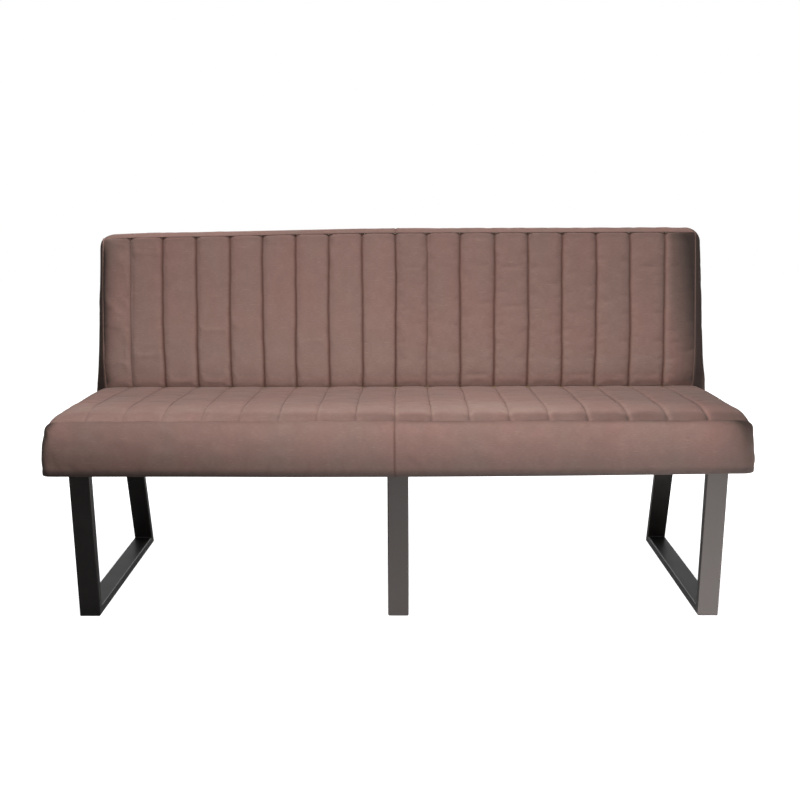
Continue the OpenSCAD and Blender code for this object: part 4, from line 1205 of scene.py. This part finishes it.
def bead_tree():
    """Geometry nodes that set a rounded unit along every path, at an even pitch."""
    tree = bpy.data.node_groups.new("units_along_paths", "GeometryNodeTree")
    tree.is_modifier = True
    inputs = {}
    for name, kind in (
        ("Geometry", "Geometry"), ("Pitch", "Float"), ("Size", "Vector"), ("Stray", "Float"),
        ("Seed", "Int"), ("Up", "Vector"), ("Material", "Material"),
    ):
        socket = tree.interface.new_socket(name=name, in_out="INPUT", socket_type=f"NodeSocket{kind}")
        inputs[name] = socket.identifier
    tree.interface.new_socket(name="Geometry", in_out="OUTPUT", socket_type="NodeSocketGeometry")
    given = node(tree, "NodeGroupInput").outputs
    path = node(tree, "GeometryNodeMeshToCurve", {"Mesh": given["Geometry"]}).outputs["Curve"]
    spaced = node(
        tree, "GeometryNodeResampleCurve", {"Curve": path, "Length": given["Pitch"]}, mode="LENGTH"
    )
    unit = node(tree, "GeometryNodeMeshUVSphere", Segments=8, Rings=5, Radius=0.5).outputs["Mesh"]
    tangent = node(tree, "GeometryNodeInputTangent").outputs["Tangent"]
    turned = node(tree, "FunctionNodeAlignRotationToVector", {"Vector": tangent}, axis="X")
    turned = node(
        tree, "FunctionNodeAlignRotationToVector",
        {"Rotation": turned.outputs["Rotation"], "Vector": given["Up"]}, axis="Z", pivot_axis="X",
    )
    # Each unit strays by its own angle. Sockets 2 and 3 are the least and the most of a single number.
    least = node(tree, "ShaderNodeMath", {0: given["Stray"], 1: -1}, operation="MULTIPLY")
    stray = node(
        tree, "FunctionNodeRandomValue",
        {2: least.outputs[0], 3: given["Stray"], "Seed": given["Seed"]}, data_type="FLOAT",
    )
    spin = node(tree, "FunctionNodeAxisAngleToRotation", {"Angle": stray.outputs[1]})
    turned = node(
        tree, "FunctionNodeRotateRotation",
        {"Rotation": turned.outputs["Rotation"], "Rotate By": spin.outputs["Rotation"]},
        rotation_space="LOCAL",
    )
    units = node(
        tree, "GeometryNodeInstanceOnPoints",
        {
            "Points": spaced.outputs["Curve"], "Instance": unit,
            "Rotation": turned.outputs["Rotation"], "Scale": given["Size"],
        },
    )
    solid = node(tree, "GeometryNodeRealizeInstances", {"Geometry": units.outputs["Instances"]})
    smooth = node(tree, "GeometryNodeSetShadeSmooth", {"Geometry": solid.outputs["Geometry"]})
    dressed = node(
        tree, "GeometryNodeSetMaterial",
        {"Geometry": smooth.outputs["Geometry"], "Material": given["Material"]},
    )
    node(tree, "NodeGroupOutput", {"Geometry": dressed.outputs["Geometry"]})
    return tree, inputs


def along_paths(name, paths, material, slot, **values):
    """A piece of rounded units along paths of points."""
    points = np.concatenate(paths)
    starts = np.cumsum([0] + [len(path) for path in paths[:-1]])
    edges = [(s + i, s + i + 1) for s, path in zip(starts, paths) for i in range(len(path) - 1)]
    route = bpy.data.meshes.new(f"{name}_route")
    route.from_pydata(points.tolist(), edges, [])
    carrier = add_object(f"{name}_route", route)
    modifier = carrier.modifiers.new("units", "NODES")
    modifier.node_group = BEADS[0]
    for key, value in dict(values, Material=material).items():
        modifier[BEADS[1][key]] = value
    made = carrier.evaluated_get(bpy.context.evaluated_depsgraph_get())
    mesh = bpy.data.meshes.new_from_object(made)
    mesh.name = name
    bpy.data.objects.remove(carrier)
    return finish_piece(add_object(name, mesh), material, slot)


def weld_paths():
    """Inside corners of the legs, where a fillet weld runs across the tube."""
    # A rear post leans back by 88 mm over 366 mm of its height, as its solid does
    lean = math.atan2(88, 366)
    from_edge = 3 * MM
    paths = []
    for leg in ("left", "centre", "right"):
        bar_low, bar_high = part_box(f"leg_{leg}_foot_bar")
        plate_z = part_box(f"leg_{leg}_top_plate")[0].z
        front_low, front_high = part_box(f"leg_{leg}_front_post")
        rear_high_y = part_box(f"leg_{leg}_rear_post")[1].y
        tube_t = bar_high.z - bar_low.z
        rear_face = rear_high_y - tube_t / math.cos(lean) + bar_low.z * math.tan(lean)
        xs = np.linspace(bar_low.x + from_edge, bar_high.x - from_edge, 12)
        front_step = (front_high.y - front_low.y - tube_t) / (front_high.z - front_low.z)
        for z in (bar_high.z, plate_z):
            front_y_here = front_high.y - front_step * (z - front_low.z)
            rear_y_here = rear_face - z * math.tan(lean)
            for y in (front_y_here, rear_y_here):
                paths.append(np.stack([xs, 0 * xs + y, 0 * xs + z], axis=-1))
    return paths


def staple_paths():
    """A rectangle under the dust cover, where staples hold it to the rails."""
    low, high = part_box("dust_cover")
    inset = 9 * MM
    z = low.z
    corners = [
        (low.x + inset, low.y + inset), (high.x - inset, low.y + inset),
        (high.x - inset, high.y - inset), (low.x + inset, high.y - inset),
    ]
    return [np.array([(*a, z), (*b, z)]) for a, b in zip(corners, corners[1:] + corners[:1])]


# Building


def finish_piece(piece, material, slot, *nodes):
    """Gives a piece its finish, hangs it under the root, and hides the frame's parts that it stands for.
    """
    piece.data.materials.clear()
    piece.data.materials.append(material)
    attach(piece, "root")
    if nodes:
        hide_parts(*nodes)
    return piece


finishes = {
    "velvet": velvet(),
    "powder_coated_steel": powder_coat(),
    "glide_plastic": moulded_plastic(),
    "zinc_plated_steel": zinc_plate(),
    "softwood": planed_wood("planed_softwood", (3, 60, 60), "#dcc397", "#c6a673"),
    "plywood": planed_wood("sanded_plywood", (4, 40, 90), "#d0ad7a", "#b78f5c"),
    "foam": cut_foam(),
    "dust_cloth": spunbond(),
}
slots = {part["node"]: part["material_slot"] for part in frame["record"]["subparts"]}
for name, cad_node in frame["nodes"].items():
    if not cad_node.data.materials:
        cad_node.data.materials.append(None)
    for i in range(len(cad_node.data.materials)):
        cad_node.data.materials[i] = finishes[slots[name]]

# Each kind of padded piece: how it is made, its fill, and the pressure and greatest move of its puff.
# A skin is made finer by one level, which rounds its rolls.
PADDING = {
    "seat_quilt": (seat_quilt, 0.8, 3.0, 1.2 * MM),
    "seat_band": (seat_band, 0.6, 2.0, 1.2 * MM),
    "back_quilt": (back_quilt, 0.8, 3.0, 1.4 * MM),
    "back_border": (back_border, 0.6, 1.5, 0.7 * MM),
    "back_rear_cover": (rear_cover, 0.3, 1.0, 1.5 * MM),
}
for kind, (make, fill, pressure, cap) in PADDING.items():
    for side, hand in ((-1, "left"), (1, "right")):
        padded = make(f"{kind}_{hand}_cloth", side)
        puff(padded, pressure, cap)
        padded.vertex_groups.clear()
        finish_piece(padded, finishes["velvet"], "velvet", f"{kind}_{hand}")
        rounding = padded.modifiers.new("rounding", "SUBSURF")
        rounding.levels = rounding.render_levels = 1

board_low_v, board_t, rail_t, rear_edge = 8 * MM, 5 * MM, 20 * MM, 7 * MM
EASED_TIMBER = {
    "back_board": ("plywood", board_low_v, [(-board_t, 0), (0, 0)]),
    "back_top_rail": (
        "softwood", back_v - border_t - rail_t,
        [(back_rear_n, rear_edge), (back_rear_n + rear_edge, 0), (-board_t, 0)],
    ),
}
for name, (slot, low_v, profile) in EASED_TIMBER.items():
    finish_piece(eased_plank(f"{name}_eased", low_v, profile), finishes[slot], slot, name)

for name, make in (("seat_foam", seat_foam_slab), ("back_foam", back_foam_slab)):
    finish_piece(make(f"{name}_slab"), finishes["foam"], "foam", name)

# Stitches, ripples of the welds, and staples, all at their real pitch. Size is (along, wide, high).
BEADS = bead_tree()
along_paths(
    "channel_stitches", thread_paths, sewing_thread(), "velvet",
    Pitch=5.0 * MM, Size=(4.0 * MM, 0.9 * MM, 0.7 * MM), Stray=0.06, Seed=3, Up=(0, -0.5, 0.5),
)
along_paths(
    "leg_welds", weld_paths(), finishes["powder_coated_steel"], "powder_coated_steel",
    Pitch=2.4 * MM, Size=(4.6 * MM, 7.5 * MM, 7.5 * MM), Stray=0.2, Seed=5, Up=(0, 0, 1),
)
along_paths(
    "dust_cover_staples", staple_paths(), finishes["zinc_plated_steel"], "zinc_plated_steel",
    Pitch=46 * MM, Size=(10 * MM, 1.3 * MM, 1.0 * MM), Stray=0.25, Seed=7, Up=(0, 0, -1),
)

# Camera, at the photograph's place: a 45 mm lens on a 36 mm sensor

CAMERA_PLACE = Vector((0.0184, -2.5176, 1.0054))
TILT, YAW, ROLL = (math.radians(angle) for angle in (11.750, -0.322, -0.205))

ahead = Vector((math.sin(YAW) * math.cos(TILT), math.cos(YAW) * math.cos(TILT), -math.sin(TILT)))
level = Vector((math.cos(YAW), -math.sin(YAW), 0))
upright = level.cross(ahead)
right = math.cos(ROLL) * level + math.sin(ROLL) * upright
up = math.cos(ROLL) * upright - math.sin(ROLL) * level
lens = bpy.data.cameras.new("camera")
lens.lens = 45
lens.sensor_width = 36
lens.clip_end = 50
camera = add_object("camera", lens)
camera.matrix_world = Matrix((right, up, -ahead)).transposed().to_4x4()
camera.location = CAMERA_PLACE
bpy.context.scene.camera = camera

# Floor and lights

# The cards are a little warm, as the pale posts of the photograph are
CARD_COLOUR = linear("#fff3ef")[:3]


def soft_lamp(name, place, aim, size, power, glossy_only=False):
    """A rectangular soft box that faces a place. Places and sizes are metres, and powers are watts."""
    lamp = bpy.data.lights.new(name, "AREA")
    lamp.shape = "RECTANGLE"
    lamp.size, lamp.size_y = size
    lamp.energy = power
    made = add_object(name, lamp)
    made.matrix_world = (Vector(aim) - Vector(place)).to_track_quat("-Z", "Y").to_matrix().to_4x4()
    made.location = place
    made.visible_camera = False
    made.visible_diffuse = not glossy_only
    if glossy_only:
        lamp.color = CARD_COLOUR


soft_lamp("top", (0, -0.6, 3.2), (0, 0, 0.5), (2.0, 1.0), 59)
soft_lamp("front", (0.2, -1.9, 0.9), (0.15, -0.3, 0.47), (0.8, 0.4), 16)
soft_lamp("upper_front", (0.25, -1.5, 1.9), (0.2, -0.2, 0.45), (0.9, 0.5), 7)
soft_lamp("rear", (0, 2.7, 1.6), (0, 0.2, 0.5), (1.6, 1.0), 45)
# Bright cards on the floor, from the middle to the right: only the legs' gloss shows them
soft_lamp("wide_card", (0.8, -1.225, 0.002), (0.8, -1.225, 1), (2.2, 1.95), 95, glossy_only=True)
soft_lamp("right_card", (1.15, -1.225, 0.004), (1.15, -1.225, 1), (1.5, 1.95), 68, glossy_only=True)


def background_rays(tree):
    """1 for the rays that see the background itself: from the camera, off gloss and through glass."""
    rays = node(tree, "ShaderNodeLightPath").outputs
    seen = rays["Is Camera Ray"]
    for kind in ("Is Glossy Ray", "Is Transmission Ray"):
        seen = node(tree, "ShaderNodeMath", {0: seen, 1: rays[kind]}, operation="MAXIMUM").outputs[0]
    return seen


world = bpy.data.worlds.new("studio")
bpy.context.scene.world = world
world.use_nodes = True
tree = world.node_tree
# The background is white where it is seen, and lights the bench weakly from all round
strength = node(tree, "ShaderNodeMapRange", {"Value": background_rays(tree)}, To_Min=0.17, To_Max=1.0)
background = tree.nodes["Background"]
background.inputs["Color"].default_value = (1, 1, 1, 1)
tree.links.new(strength.outputs[0], background.inputs["Strength"])

# The floor keeps the shadow. It is white to the camera, and a duller grey to the light it sends back.
floor_reach = 9.0
floor_mesh = bpy.data.meshes.new("floor")
floor_mesh.from_pydata(
    [(-floor_reach, -floor_reach, 0), (floor_reach, -floor_reach, 0), (floor_reach, floor_reach, 0),
     (-floor_reach, floor_reach, 0)],
    [], [(0, 1, 2, 3)],
)
floor = add_object("floor", floor_mesh)
paper, tree, shader = new_material("floor_paper", Roughness=0.9, Specular_IOR_Level=0.05)
rays = node(tree, "ShaderNodeLightPath").outputs
paper_colour = node(
    tree, "ShaderNodeMix", {0: rays["Is Diffuse Ray"], 6: linear("#e4e4e4"), 7: linear("#707070")},
    data_type="RGBA",
)
tree.links.new(paper_colour.outputs[2], shader.inputs["Base Color"])
# To the camera it is lifted by nine tenths of white
lift = node(tree, "ShaderNodeMath", {0: rays["Is Camera Ray"], 1: 0.9}, operation="MULTIPLY")
shader.inputs["Emission Color"].default_value = (1, 1, 1, 1)
tree.links.new(lift.outputs[0], shader.inputs["Emission Strength"])
floor.data.materials.append(paper)

bpy.context.scene.view_settings.view_transform = "Standard"
